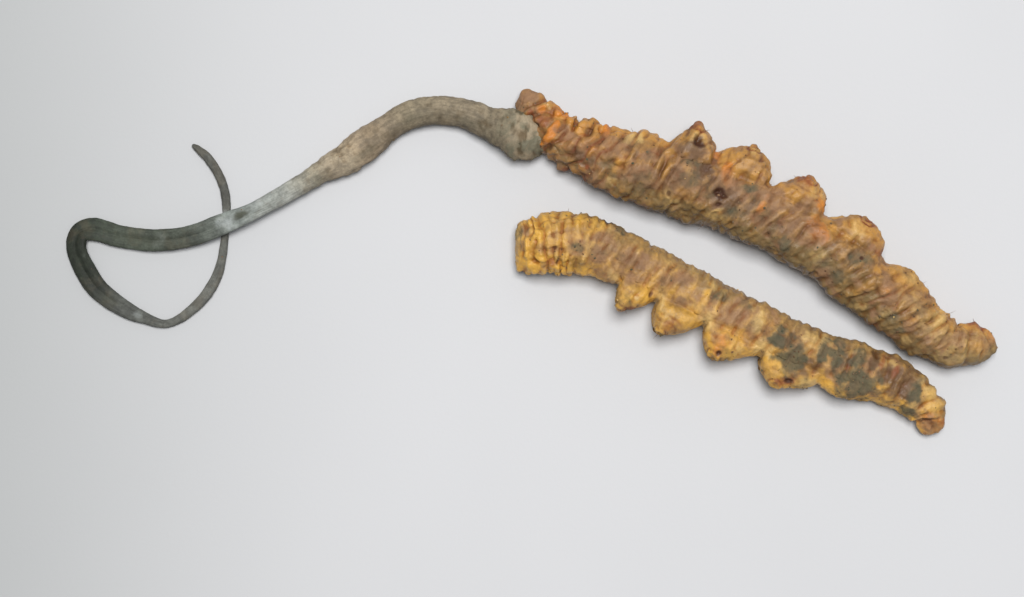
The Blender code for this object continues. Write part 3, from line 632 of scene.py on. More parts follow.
    def add_marks(self, spots):
        """The stains, folds and pits that can be told apart on the upper side."""
        wobble = 0.42 * self.noise.rough(self.base + 90, 0.9)
        for mark in spots:
            away = mark_distance(mark, self.base)
            cover = smooth_step(*MARK_FADE, away + wobble) * self.up_side
            self.stain(mark.stain, mark.strength * cover)
            if mark.stain in PALE_STAINS:
                self.stains["mauve"] *= 1 - MAUVE_THINNED * mark.strength * cover
            uneven = away + 0.4 * wobble
            shape = swell(uneven) if mark.rise > 0 else np.exp(-1.6 * uneven**2)
            self.rise += mark.rise * shape * self.up_side

    def add_bands(self, olive, ochre, mauve):
        """Broad shades: olive along the back, golden on the legs, and a dusty film between them."""
        place = np.sin(self.angle) + 0.45 * self.noise.rough(self.base + 130, 3.0)
        self.stain("olive", olive * smooth_step(0.15, -0.85, place))
        self.stain("ochre", ochre * smooth_step(0.10, 1.0, place))
        film = self.other_noise.rough(self.base + 150, 2.0) - 0.5 * np.abs(place - 0.1)
        self.stain("mauve", mauve * smooth_step(-0.42, 0.32, film) * self.up_side)

    def add_common_stains(self, **amounts):
        """Stains with no place of their own, weaker on the upper side."""
        weaker = 1 - 0.5 * self.up_side
        for number, (name, (size, start, strength)) in enumerate(amounts.items()):
            level = self.other_noise.rough(self.base + 31.7 * (number + 1), size)
            self.stain(name, strength * weaker * smooth_step(start - 0.15, start + 0.35, level))

    def crust(self, height):
        """Soil stands a little out of the skin, with a crumbly surface."""
        soil = np.clip(self.stains["soil"] + 0.3 * self.stains["mauve"], 0, 1)
        grains = 0.6 + 0.8 * self.other_noise.rough(self.base + 70, 0.42, 2)
        self.rise += height * soil * grains

    def finished(self, ceiling):
        """Rows of points, and a value for each of them for every stain, crest and crease."""
        self.rise *= np.clip(self.closing, 0.35, 1)
        points = self.base + self.normals * self.rise[..., None]
        points[..., 2] = np.maximum(points[..., 2], 0)
        too_high = np.clip(points[..., 2] - (ceiling - TOP_BAND), 0, None)
        points[..., 2] -= TOP_SQUEEZE * too_high
        height = self.rise - averaged(self.rise)
        values = dict(self.stains)
        values["crest"] = np.clip(height / CREST_HEIGHT, 0, 1)
        values["crease"] = np.clip(-height / CREASE_DEPTH, 0, 1)
        tips = smooth_step(0.80, 1.0, self.legs / max(1.0, self.legs.max()))
        values["bristly"] = np.maximum(tips, STRAY_BRISTLES)
        values["unbent"] = self.unbent * MM
        return points, values


def closed_mesh(name, points, values):
    """A mesh through rows of points, closed over both ends, with a named value on every point."""
    count, sides = points.shape[:2]
    poles = np.stack([points[0].mean(axis=0), points[-1].mean(axis=0)])
    vertices = np.concatenate([points.reshape(-1, 3), poles]) * MM
    here = np.arange(count * sides).reshape(count, sides)
    turn = np.roll(here, -1, axis=1)
    quads = np.stack([here[:-1], turn[:-1], turn[1:], here[1:]], axis=-1).reshape(-1, 4)
    first, last = count * sides, count * sides + 1
    fan = [(first, b, a) for a, b in zip(here[0].tolist(), turn[0].tolist())]
    fan += [(last, a, b) for a, b in zip(here[-1].tolist(), turn[-1].tolist())]
    mesh = bpy.data.meshes.new(name)
    mesh.from_pydata(vertices.tolist(), [], quads.tolist() + fan)
    if signed_volume(mesh) < 0:
        mesh.flip_normals()
    mesh.shade_smooth()
    for value_name, field in values.items():
        at_poles = field[[0, -1], 0].reshape(2, -1)
        add_values(mesh, value_name, np.concatenate([field.reshape(count * sides, -1), at_poles]))
    return mesh


def add_values(mesh, name, field):
    """Stores a number or a vector for every point of a mesh."""
    vectors = field.ndim == 2 and field.shape[1] == 3
    layer = mesh.attributes.new(name, "FLOAT_VECTOR" if vectors else "FLOAT", "POINT")
    layer.data.foreach_set("vector" if vectors else "value", field.astype(np.float32).ravel())


def signed_volume(mesh):
    shell = bmesh.new()
    shell.from_mesh(mesh)
    volume = shell.calc_volume(signed=True)
    shell.free()
    return volume


def placed(name, mesh):
    """A new object at the origin that shows this mesh."""
    thing = bpy.data.objects.new(name, mesh)
    bpy.context.scene.collection.objects.link(thing)
    return thing


class Wire:
    """A number that runs through a node tree, on which sums can be written."""

    def __init__(self, network, socket):
        self.network = network
        self.socket = socket

    def __add__(self, other):
        return self.network.sum("ADD", self, other)

    __radd__ = __add__

    def __sub__(self, other):
        return self.network.sum("SUBTRACT", self, other)

    def __rsub__(self, other):
        return self.network.sum("SUBTRACT", other, self)

    def __mul__(self, other):
        return self.network.sum("MULTIPLY", self, other)

    __rmul__ = __mul__

    def __truediv__(self, other):
        return self.network.sum("DIVIDE", self, other)

    def __rtruediv__(self, other):
        return self.network.sum("DIVIDE", other, self)


class Network:
    """Makes nodes in a tree and joins their sockets."""

    def __init__(self, tree):
        self.tree = tree
        tree.nodes.clear()

    @staticmethod
    def find(sockets, key):
        """A socket by its number, or the first one in use by its name."""
        if isinstance(key, int):
            return sockets[key]
        for socket in sockets:
            if socket.name == key and socket.enabled:
                return socket
        raise KeyError(f"no socket named {key}")

    def node(self, kind, *first, output=0, **named):
        """A new node, and the wire from one of its outputs. Names that start with a capital letter
        are sockets, with _ for a space, and the others are settings, which are made first."""
        made = self.tree.nodes.new(kind)
        sockets = dict(enumerate(first))
        for name, value in named.items():
            if name[0].isupper():
                sockets[name.replace("_", " ")] = value
            elif name == "stops":
                self.set_stops(made.color_ramp, value)
            else:
                setattr(made, name, value)
        for key, value in sockets.items():
            socket = self.find(made.inputs, key)
            if isinstance(value, Wire):
                self.tree.links.new(value.socket, socket)
            else:
                socket.default_value = value
        return Wire(self, self.find(made.outputs, output)) if made.outputs else None

    def other(self, wire, output):
        """Another output of the node that a wire comes from."""
        return Wire(self, self.find(wire.socket.node.outputs, output))

    @staticmethod
    def set_stops(ramp, stops):
        while len(ramp.elements) < len(stops):
            ramp.elements.new(1.0)
        for element, (place, colour) in zip(ramp.elements, stops):
            element.position = place
            element.color = (*colour, 1.0)

    def sum(self, operation, *terms):
        return self.node("ShaderNodeMath", *terms, operation=operation)

    def vector(self, operation, *terms):
        return self.node("ShaderNodeVectorMath", *terms, operation=operation)

    def scaled(self, vector, factor):
        return self.node("ShaderNodeVectorMath", vector, operation="SCALE", Scale=factor)

    def joined(self, x, y, z):
        return self.node("ShaderNodeCombineXYZ", x, y, z)

    def part(self, vector, axis):
        return self.node("ShaderNodeSeparateXYZ", vector, output=axis)

    def ranged(self, wire, start, end, low=0.0, high=1.0):
        """A value that goes softly from low to high while the wire goes from start to end."""
        ends = (start, end, low, high)
        return self.node("ShaderNodeMapRange", wire, *ends, interpolation_type="SMOOTHSTEP")

    def mixed(self, factor, first, second, blend="MIX"):
        """A mix of two colours, each a wire or three shares."""
        shades = [s if isinstance(s, Wire) else (*s, 1.0) for s in (first, second)]
        mix = {"data_type": "RGBA", "blend_type": blend, "output": "Result"}
        return self.node("ShaderNodeMix", Factor=factor, A=shades[0], B=shades[1], **mix)


class Finish(Network):
    """The node tree of one material. Sizes of its patterns are in millimetres."""

    def __init__(self, name):
        self.material = bpy.data.materials.new(name)
        self.material.use_nodes = True
        super().__init__(self.material.node_tree)
        self.place = self.node("ShaderNodeTexCoord", output="Object")

    def moved(self, x, y, z=0.0):
        return self.vector("ADD", self.place, (x, y, z))

    def noise(self, size, detail=3.0, roughness=0.55, distortion=0.0, place=None):
        spread = {"Roughness": roughness, "Distortion": distortion, "Vector": place or self.place}
        return self.node("ShaderNodeTexNoise", Scale=1 / (size * MM), Detail=detail, **spread)

    def value(self, name, output="Fac"):
        return self.node("ShaderNodeAttribute", attribute_name=name, output=output)

    def speckled(self, colour, grain, low, high):
        """A colour that a fine grain darkens and lightens."""
        return self.scaled(colour, self.ranged(grain, 0.3, 0.7, low, high))

    def surface(self, colour, roughness, height, depth, specular):
        """Joins colour, roughness and fine relief, depth millimetres deep, to the shader."""
        shader = self.node(
            "ShaderNodeBsdfPrincipled",
            Base_Color=colour,
            Roughness=roughness,
            Specular_IOR_Level=specular,
            Normal=self.node("ShaderNodeBump", Height=height, Strength=1.0, Distance=depth * MM),
        )
        self.node("ShaderNodeOutputMaterial", Surface=shader)
        return self.material


def skin_material(name, body, palette):
    """Dry, wrinkled larva skin with its stains, painted shade in the creases and a painted highlight on the
    crests.
    """
    finish = Finish(name)
    round_body = finish.vector("MULTIPLY", finish.value("unbent", "Vector"), (1.0, 0.34, 0.34))
    broad = finish.noise(2.4, 4, 0.6, 0.4)
    blotch = finish.noise(0.9, 5, 0.65, 0.5)
    streaks = finish.noise(0.55, 4, 0.6, 0.6, round_body)
    grain = finish.noise(0.22, 4, 0.7)
    crease = finish.value("crease")
    crest = finish.value("crest")
    lightness = finish.ranged(0.5 * broad + 0.5 * streaks, 0.38, 0.62)
    colour = finish.mixed(lightness, body.dark, body.light)
    # Painted highlight and painted shade from the relief: crests are made brighter, more golden and tinted
    # with the crest colour, and creases darker.
    brightness = blotch * 0.5 + streaks * 0.5 + 0.12 * crest - 0.12 * crease
    colour = finish.mixed(finish.ranged(brightness, 0.50, 0.76, 0.0, 0.5), colour, body.ochre)
    colour = finish.mixed(0.45 * crest, colour, body.crest)
    # on_crest and in_crease follow the relief: pale stains gather on the crests and dark ones in the
    # creases, partly the skin's own stains and partly painted highlight and painted shade.
    shades = {
        "olive": (body.olive, -0.2, 0.2),
        "ochre": (body.ochre, 0.20, -0.2),
        "amber": (palette.amber, 0.30, -0.2),
        "cream": (palette.cream, 0.20, 0.0),
        "mauve": (palette.mauve, 0.0, 0.0),
        "umber": (palette.umber, -0.15, 0.25),
        "rust": (palette.rust, -0.1, 0.35),
    }
    for number, (stain, (shade, on_crest, in_crease)) in enumerate(shades.items()):
        patchy = finish.noise(0.75, 4, 0.6, 0.3, finish.moved(0.013 * number, 0.007))
        there = finish.value(stain) * (1 + on_crest * crest + in_crease * crease)
        colour = finish.mixed(finish.ranged(there + 0.8 * patchy, 0.42, 1.40, 0.0, 0.88), colour, shade)
    # Painted shade in the creases: there the colour is multiplied by the crease shade colour.
    crease_shaded = finish.mixed(1.0, colour, body.crease_tint, "MULTIPLY")
    colour = finish.mixed(finish.ranged(crease, 0.05, 0.95), colour, crease_shaded)
    earth = finish.ranged(finish.noise(0.9, 5, 0.7), 0.40, 0.60)
    soil_shade = finish.mixed(earth, palette.soil, palette.green_soil)
    soil = finish.value("soil")
    soil_level = soil * (1 + 0.3 * crease) + 0.9 * blotch
    colour = finish.mixed(finish.ranged(soil_level, 0.55, 1.40, 0.0, 0.9), colour, soil_shade)
    # Painted shade: the dark stain fills the pits and holes that the marks sink with the pit colour, and
    # makes a dark spot where a mark has no depth.
    pit = finish.ranged(finish.value("dark") + 0.3 * grain, 0.35, 1.05, 0.0, 0.92)
    colour = finish.speckled(finish.mixed(pit, colour, palette.pit), grain, 0.91, 1.08)
    dry = soil + 0.6 * finish.value("mauve")
    roughness = finish.ranged(0.6 * blotch + 0.5 * dry - 0.15 * crest, 0.15, 0.8, 0.34, 0.9)
    cells = finish.node("ShaderNodeTexVoronoi", Vector=finish.place, Scale=1 / (0.3 * MM))
    return finish.surface(colour, roughness, grain + 0.5 * cells + 0.6 * streaks, 0.06, 0.38)


def stalk_material(name, settings):
    """Dry fungus stalk: earthy crust, tan rod, then a greenish black ribbon and a grey tip."""
    finish = Finish(name)
    along = finish.value("along")
    across = finish.value("across")
    shifted = along + 0.012 * (finish.noise(1.6, 4, 0.6) - 0.5)
    last = len(STALK) - 1
    stops = [(row / last, linear(*shade)) for row, shade in STALK_SHADES]
    ramp = finish.node("ShaderNodeValToRGB", shifted, stops=stops)
    lengthwise = finish.joined(across * 2.6, finish.value("over") * 2.6, along * 22.0)
    detail = {"Scale": 2.4, "Detail": 4.0, "Roughness": 0.6}
    streaks = finish.node("ShaderNodeTexNoise", Vector=lengthwise, **detail)
    blotch = finish.noise(1.3, 5, 0.7, 0.4)
    grain = finish.noise(0.18, 4, 0.7)
    shade = finish.ranged(streaks * 0.35 + blotch * 0.65, 0.38, 0.62, 0.70, 1.22)
    brown = finish.noise(1.7, 4, 0.6, 0.3, finish.moved(0.0, 0.03))
    film = finish.ranged(brown, 0.50, 0.66) * finish.ranged(along, 0.34, 0.42, 0.40, 0.14)
    colour = finish.mixed(film, finish.scaled(ramp, shade), settings.brown)
    specks = finish.noise(0.55, 4, 0.65, 0.4)
    colour = finish.scaled(colour, finish.ranged(specks, 0.36, 0.64, 0.84, 1.14))
    # Painted light on the stalk: the pale marks are a painted highlight where the ribbon catches the light,
    # and the dark marks are painted shade.
    for stain, painted_light_shade in (("pale", settings.pale), ("dusk", settings.dusk)):
        there = finish.ranged(finish.value(stain) + 0.9 * blotch, 0.50, 1.35, 0.0, 0.9)
        colour = finish.mixed(there, colour, painted_light_shade)
    greenish = finish.ranged(finish.noise(1.5, 4, 0.6, 0.5, finish.moved(0.02, 0.01)), 0.42, 0.60)
    crust = finish.mixed(greenish, settings.crust, settings.green_crust)
    lumpy = finish.value("lumpiness")
    dusty = finish.mixed(finish.ranged(lumpy + 0.9 * blotch, 0.95, 1.55), colour, crust)
    # Painted shade in the furrows: there the colour is multiplied by the crease shade colour.
    furrow_shaded = finish.mixed(1.0, dusty, settings.crease_tint, "MULTIPLY")
    colour = finish.mixed(finish.value("crease"), dusty, furrow_shaded)
    # Painted light and shade on the rod: its side towards +Y, where the light comes from, is made about a
    # quarter brighter and the far side a little darker, fading out before the ribbon.
    side = across + 1.1 * (blotch - 0.5)
    painted_side_light = finish.ranged(side, -0.75, 0.65, 0.24, -0.06) * finish.ranged(along, 0.33, 0.42, 1.0, 0.0)
    colour = finish.scaled(colour, (1 + painted_side_light) * finish.ranged(grain, 0.3, 0.7, 0.9, 1.08))
    roughness = finish.ranged(blotch, 0.3, 0.7, 0.62, 0.88)
    return finish.surface(colour, roughness, grain + 0.35 * streaks, 0.04, 0.3)


# The stalk's own colours along its length, by table row; the stops at rows 9.3 and 10 are lighter as a
# painted highlight on the swelling.
STALK_SHADES = (
    (0, (110, 102, 82)), (3.6, (114, 104, 86)), (5, (123, 112, 94)), (7, (121, 111, 92)),
    (8.6, (132, 118, 99)), (9.3, (154, 138, 115)), (10, (157, 144, 123)), (11, (144, 132, 113)),
    (12, (138, 132, 116)), (12.8, (144, 146, 140)), (14.2, (128, 134, 130)), (14.8, (118, 124, 119)),
    (15.3, (94, 99, 93)), (16.2, (72, 77, 69)), (17.5, (74, 80, 70)), (19, (56, 62, 53)),
    (20.2, (38, 43, 35)), (22, (42, 47, 39)), (23, (52, 56, 50)), (23.8, (78, 80, 76)), (25.2, (88, 90, 86)),
    (26.5, (99, 100, 95)), (29, (97, 98, 93)), (31.5, (84, 84, 79)), (34, (86, 87, 82)),
)


class Growth(Network):
    """A Geometry Nodes tree with named inputs for its sizes."""

    def __init__(self, name, numbers):
        tree = bpy.data.node_groups.new(name, "GeometryNodeTree")
        super().__init__(tree)
        tree.is_modifier = True
        tree.interface.new_socket("Geometry", in_out="INPUT", socket_type="NodeSocketGeometry")
        for key, value in numbers.items():
            kind = "NodeSocketInt" if isinstance(value, int) else "NodeSocketFloat"
            socket = tree.interface.new_socket(key, in_out="INPUT", socket_type=kind)
            socket.default_value = value
        tree.interface.new_socket("Material", in_out="INPUT", socket_type="NodeSocketMaterial")
        tree.interface.new_socket("Geometry", in_out="OUTPUT", socket_type="NodeSocketGeometry")
        self.geometry = self.node("NodeGroupInput", output="Geometry")
        self.place = self.node("GeometryNodeInputPosition")

    def given(self, name):
        return self.other(self.geometry, name)

    def named(self, name, kind="FLOAT"):
        said = {"Name": name, "data_type": kind, "output": "Attribute"}
        return self.node("GeometryNodeInputNamedAttribute", **said)

    def stored(self, geometry, name, value, domain="POINT", kind="FLOAT"):
        said = {"Name": name, "Value": value, "data_type": kind, "domain": domain}
        return self.node("GeometryNodeStoreNamedAttribute", Geometry=geometry, **said)

    def random(self, low, high, step, kind="FLOAT"):
        """A random number or vector for each instance, from the tree's seed and a step."""
        said = {"Min": low, "Max": high, "data_type": kind, "output": "Value"}
        return self.node("FunctionNodeRandomValue", Seed=self.given("Seed") + step, **said)

    def scattered(self, cover):
        """Points strewn over the surface where it is covered, clear of the floor, and their turns."""
        points = self.node(
            "GeometryNodeDistributePointsOnFaces",
            output="Points",
            distribute_method="RANDOM",
            Mesh=self.geometry,
            Density=self.given("Density") * cover,
            Seed=self.given("Seed"),
        )
        low = self.sum("LESS_THAN", self.part(self.place, "Z"), self.given("Clear of floor"))
        kept = self.node("GeometryNodeDeleteGeometry", Geometry=points, Selection=low)
        return kept, self.other(points, "Rotation")

    def real(self, geometry):
        return self.node("GeometryNodeRealizeInstances", Geometry=geometry)

    def end(self, geometry, smooth):
        """Shade Smooth or flat, Realize Instances, Set Material, and the tree's output."""
        shaped = self.node("GeometryNodeSetShadeSmooth", Geometry=geometry, Shade_Smooth=smooth)
        material = self.given("Material")
        made = self.node("GeometryNodeSetMaterial", Geometry=self.real(shaped), Material=material)
        self.node("NodeGroupOutput", Geometry=made)
        return self.tree


def grown(name, start_mesh, tree, numbers, material):
    """A plain mesh object with what a tree grows from a start mesh."""
    thing = placed(name, start_mesh)
    modifier = thing.modifiers.new("growth", "NODES")
    modifier.node_group = tree
    for item in tree.interface.items_tree:
        if item.in_out == "INPUT" and item.name != "Geometry":
            modifier[item.identifier] = material if item.name == "Material" else numbers[item.name]
    bpy.context.view_layer.update()
    evaluated = thing.evaluated_get(bpy.context.evaluated_depsgraph_get())
    mesh = bpy.data.meshes.new_from_object(evaluated)
    mesh.name = name
    thing.modifiers.remove(modifier)
    thing.data = mesh
    if not mesh.polygons:
        raise RuntimeError(f"{name} came out empty")
    return thing


def stalk_tree(numbers):
    """Sweeps a rounded section along a line of points that carry its width, thickness and sides."""
    net = Growth("stalk_sweep", numbers)
    sides = net.given("Sides")
    relief = net.given("Relief")
    line = {"Geometry": net.geometry}
    rows = net.node("GeometryNodeAttributeDomainSize", component="MESH", output="Point Count", **line)
    grid = net.node("GeometryNodeMeshGrid", Vertices_X=rows, Vertices_Y=sides + 1)
    index = net.node("GeometryNodeInputIndex")
    row = net.sum("FLOOR", (index + 0.5) / (sides + 1))
    turn = (index - row * (sides + 1)) / sides * (2 * math.pi)

    def sampled(value, kind):
        said = {"data_type": kind, "domain": "POINT", "output": "Value"}
        return net.node("GeometryNodeSampleIndex", Value=value, Index=row, **line, **said)

    def at_row(name, kind="FLOAT"):
        return sampled(net.named(name, kind), kind)

    sideways = net.sum("COSINE", turn)
    over = net.sum("SINE", turn)
    across = net.scaled(at_row("across", "FLOAT_VECTOR"), sideways * at_row("half_width"))
    through = net.scaled(at_row("through", "FLOAT_VECTOR"), over * at_row("half_thickness"))
    out = net.vector("ADD", across, through)
    place = net.vector("ADD", sampled(net.place, "FLOAT_VECTOR"), out)
    lumpiness = at_row("lumpiness")
    along = at_row("along")

    def noise(where, scale, **more):
        seeded = {"noise_dimensions": "4D", "W": net.given("Seed")}
        return net.node("ShaderNodeTexNoise", Vector=where, Scale=scale, **seeded, **more) - 0.5

    lumps = noise(place, 1 / net.given("Lump size"), Detail=3.0, Roughness=0.55)
    cells = net.node("ShaderNodeTexVoronoi", Vector=place, Scale=1 / net.given("Grain size"))
    fibre_place = net.joined(sideways * 1.5, over * 1.5, along * net.given("Fibre stretch"))
    fibres = noise(fibre_place, 2.2, Detail=2.0)
    lumpy = (3.2 * lumps + 0.9 * (0.45 - cells)) * lumpiness
    rise = relief * (lumpy + 0.5 * fibres * (1 - 0.95 * lumpiness))
    dish = relief * at_row("flatness") * (0.0 - 0.9 * over * over * over * over)
    outward = net.vector("NORMALIZE", out)
    moved = net.vector("ADD", place, net.scaled(outward, rise + dish))
    above = net.sum("MAXIMUM", net.part(moved, "Z"), 0.0)
    final = net.joined(net.part(moved, "X"), net.part(moved, "Y"), above)
    named = {"along": along, "across": sideways, "over": over, "lumpiness": lumpiness}
    named["crease"] = net.ranged(rise / relief, -0.05, -0.45)
    stored = grid
    for name, value in named.items():
        stored = net.stored(stored, name, value)
    swept = net.node("GeometryNodeSetPosition", Geometry=stored, Position=final)
    return net.end(net.node("GeometryNodeMergeByDistance", Geometry=swept, Distance=2e-6), True)


STALK_ROWS = 1100
FOOT_ROUNDING = 0.7  # length of the stalk's foot that rounds off inside the neck, in table rows
LUMPINESS = (
    (0, 1.0), (2.4, 1.0), (4.8, 0.35), (8.0, 0.3), (9.5, 0.55), (11.4, 0.4), (13, 0.12), (34, 0.1)
)
FLATNESS = ((0, 0.0), (12, 0.0), (14, 1.0), (23, 1.0), (25, 0.4), (34, 0.2))


def stalk_path(name):
    """The stalk's centre line as a mesh of edges, with the shape of its section on every point."""
    last = len(STALK) - 1
    rows = np.linspace(0, last, STALK_ROWS)
    sections = [(s.x, s.y, s.z, s.half_width, s.half_thickness, math.radians(s.roll)) for s in STALK]
    x, y, z, width, thickness, roll = smooth_through(sections, rows).T
    to_tip = np.clip((last - rows) / TIP_ROUNDING, 0, 1)
    to_foot = np.clip(rows / FOOT_ROUNDING, 0, 1)
    closing = np.sqrt(1 - (1 - to_tip) ** 2) * np.sqrt(1 - (1 - to_foot) ** 2)
    middle = np.stack([x, y, z], axis=1)
    forward = headings(middle * (1, 1, 0))
    left = leftwards(forward)
    up = np.array([0.0, 0.0, 1.0])
    sine, cosine = np.sin(roll)[:, None], np.cos(roll)[:, None]
    across = cosine * left + sine * up
    through = cosine * up - sine * left
    mesh = bpy.data.meshes.new(name)
    mesh.from_pydata((middle * MM).tolist(), [(k, k + 1) for k in range(STALK_ROWS - 1)], [])
    numbers = {
        "half_width": width * closing * MM,
        "half_thickness": thickness * closing * MM,
        "along": rows / last,
        "lumpiness": np.interp(rows, *zip(*LUMPINESS)),
        "flatness": np.interp(rows, *zip(*FLATNESS)),
        "across": across,
        "through": through,
    }
    for value_name, field in numbers.items():
        add_values(mesh, value_name, field)
    return mesh


# The stalk's pale marks are a painted highlight where the ribbon catches the light; its dark marks are
# painted shade on the ribbon, the swelling and the hollows.
STALK_MARKS = marks(
    ("pale", (-27.3, 3.85, 0.95, 0.65, 25, 0.52), (-24.8, 5.4, 1.4, 0.55, 30, 0.3),
     (-33.6, 2.2, 0.8, 0.7, 80, 0.18), (-35.6, -4.56, 0.6, 0.25, -20, 0.28)),
    ("dusk", (-26.1, 4.55, 0.9, 0.42, 30, 1), (-35, 2.3, 2.2, 0.6, -5, 0.45),
     (-38.2, -3.2, 1, 0.6, -45, 0.45), (-19.2, 7.6, 0.6, 0.5, 30, 0.45), (-14.6, 10.3, 1.7, 0.4, 42, 0.4),
     (-10.9, 13, 1.5, 0.32, 30, 0.35), (-5.5, 12.7, 2.2, 0.4, -20, 0.35)),
)


def add_stalk_stains(mesh):
    """Stores how strong the painted highlight and the painted shade are on every point of the stalk."""
    places = np.empty(len(mesh.vertices) * 3)
    mesh.vertices.foreach_get("co", places)
    places = places.reshape(-1, 3) / MM
    wobble = 0.5 * Noise(31).rough(places, 0.9)
    stains = {"pale": np.zeros(len(places)), "dusk": np.zeros(len(places))}
    for mark in STALK_MARKS:
        cover = mark.strength * smooth_step(1.9, 0.0, mark_distance(mark, places) + wobble)
        stains[mark.stain] = np.maximum(stains[mark.stain], cover)
    for name, field in stains.items():
        add_values(mesh, name, field)


def crumb_tree(numbers):
    """Scatters small angular grains where the skin carries soil."""
    net = Growth("soil_crumbs", numbers)
    kept, _ = net.scattered(net.named("soil") + 0.25 * net.named("crease") + 0.03)
    ball = net.node("GeometryNodeMeshIcoSphere", Radius=1.0, Subdivisions=1)
    draw = net.random(0.0, 1.0, 1)
    smallest = net.given("Smallest")
    size = smallest + (net.given("Largest") - smallest) * draw * draw * draw
    turn = net.random((0, 0, 0), (6.28, 6.28, 6.28), 2, "FLOAT_VECTOR")
    stretch = net.random((0.8, 0.7, 0.5), (1.3, 1.1, 0.8), 3, "FLOAT_VECTOR")
    spread = {"Points": kept, "Instance": ball, "Rotation": turn, "Scale": net.scaled(stretch, size)}
    grains = net.node("GeometryNodeInstanceOnPoints", **spread)
    grains = net.stored(grains, "tint", net.random(0.0, 1.0, 4), "INSTANCE")
    detail = {"Scale": 0.7 / smallest, "Detail": 1.0, "output": 1}
    noise = net.node("ShaderNodeTexNoise", Vector=net.place, **detail)
    shift = net.scaled(net.vector("SUBTRACT", noise, (0.5, 0.5, 0.5)), smallest * 1.2)
    return net.end(net.node("GeometryNodeSetPosition", Geometry=net.real(grains), Offset=shift), False)


def bristle_tree(numbers):
    """Stands fine curved hairs on the skin, close together on the ends of the prolegs."""
    net = Growth("bristles", numbers)
    kept, rotation = net.scattered(net.named("bristly"))
    shape = {"Vertices": 4, "Side_Segments": 4, "Radius_Top": 0.25, "Radius_Bottom": 1.0, "Depth": 1.0}
    cone = net.stored(net.node("GeometryNodeMeshCone", **shape), "reach", net.part(net.place, "Z"))
    tilt = net.random((-0.7, -0.7, 0.0), (0.7, 0.7, 6.28), 1, "FLOAT_VECTOR")
    turning = {"Rotation": rotation, "Rotate_By": tilt, "rotation_space": "LOCAL"}
    turned = net.node("FunctionNodeRotateRotation", **turning)
    thick = net.given("Thickness") * 0.5
    scale = net.joined(thick, thick, net.given("Length") * net.random(0.35, 1.0, 2))
    spread = {"Points": kept, "Instance": cone, "Rotation": turned, "Scale": scale}
    hairs = net.node("GeometryNodeInstanceOnPoints", **spread)
    bend = net.random((-1, -1, -0.6), (1, 1, 0.2), 3, "FLOAT_VECTOR")
    hairs = net.stored(hairs, "bend", bend, "INSTANCE", "FLOAT_VECTOR")
    far = net.named("reach")
    shift = net.scaled(net.named("bend", "FLOAT_VECTOR"), far * far * net.given("Length") * 0.35)
    return net.end(net.node("GeometryNodeSetPosition", Geometry=net.real(hairs), Offset=shift), True)


def crumb_material(name, palette):
    """Grains of dry soil, from grey-green to brown, a few of them pale."""
    finish = Finish(name)
    tint = finish.value("tint")
    colour = finish.mixed(finish.ranged(tint, 0.1, 0.7), palette.green_soil, palette.mauve)
    colour = finish.mixed(finish.ranged(tint, 0.55, 0.8), colour, palette.umber)
    colour = finish.mixed(finish.ranged(tint, 0.965, 0.985), colour, palette.cream)
    grain = finish.noise(0.06, 3)
    roughness = finish.ranged(grain, 0.3, 0.7, 0.8, 0.95)
    return finish.surface(finish.speckled(colour, grain, 0.8, 1.15), roughness, grain, 0.02, 0.3)


def bristle_material(name, palette):
    """Dark brown hairs with paler ends."""
    finish = Finish(name)
    colour = finish.mixed(finish.value("reach"), palette.pit, palette.bristle_end)
    grain = finish.noise(0.05, 2)
    roughness = finish.ranged(grain, 0.3, 0.7, 0.45, 0.6)
    return finish.surface(finish.speckled(colour, grain, 0.85, 1.15), roughness, grain, 0.005, 0.4)


def floor_material(name, settings):
    """A plain pale board with the faintest unevenness, and painted shade that makes it a little darker to
    the left.
    """
    finish = Finish(name)
    # Painted shade: the floor darkens towards the left.
    lit = finish.ranged(finish.part(finish.place, "X"), *(place * MM for place in DIM_LEFT))
    colour = finish.mixed(lit, settings.dim_floor, settings.floor)
    cloudy = finish.speckled(colour, finish.noise(30, 2, 0.5), 0.99, 1.01)
    grain = finish.noise(0.4, 3)
    return finish.surface(cloudy, finish.ranged(grain, 0.3, 0.7, 0.85, 0.95), grain, 0.01, 0.2)


def number(name, description, default, **more):
    more.setdefault("min", 0)
    return bpy.props.FloatProperty(name=name, description=description, default=default, **more)


def length(name, description, millimetres, high):
    sizes = {"default": millimetres * MM, "max": high * MM, "precision": 5}
    return number(name, description, unit="LENGTH", **sizes)


def share(name, description, default):
    return number(name, description, default, subtype="FACTOR", max=1)


def colour(name, description, *shade):
    shares = {"default": linear(*shade), "subtype": "COLOR", "size": 3, "min": 0, "max": 1}
    return bpy.props.FloatVectorProperty(name=name, description=description, **shares)


class CORDYCEPS_PG_palette(bpy.types.PropertyGroup):
    """The stains that both skins share"""

    amber: colour("Amber", "Translucent orange folds", 196, 120, 46)
    rust: colour("Rust", "Red-brown creases and leg ends", 132, 72, 42)
    cream: colour("Cream", "Pale, dusty skin", 204, 169, 106)
    mauve: colour("Mauve", "Pinkish brown film of dirt", 142, 108, 80)
    umber: colour("Umber", "Dark brown stains", 98, 72, 50)
    soil: colour("Soil", "Grey-brown soil", 92, 84, 66)
    green_soil: colour("Green soil", "Grey-green soil", 83, 82, 65)
    # The pit colour is painted shade inside the pits and holes, and the dark roots of the hairs.
    pit: colour("Pit", "Inside of pits and holes", 66, 38, 24)
    bristle_end: colour("Bristle end", "Ends of the hairs", 120, 84, 52)


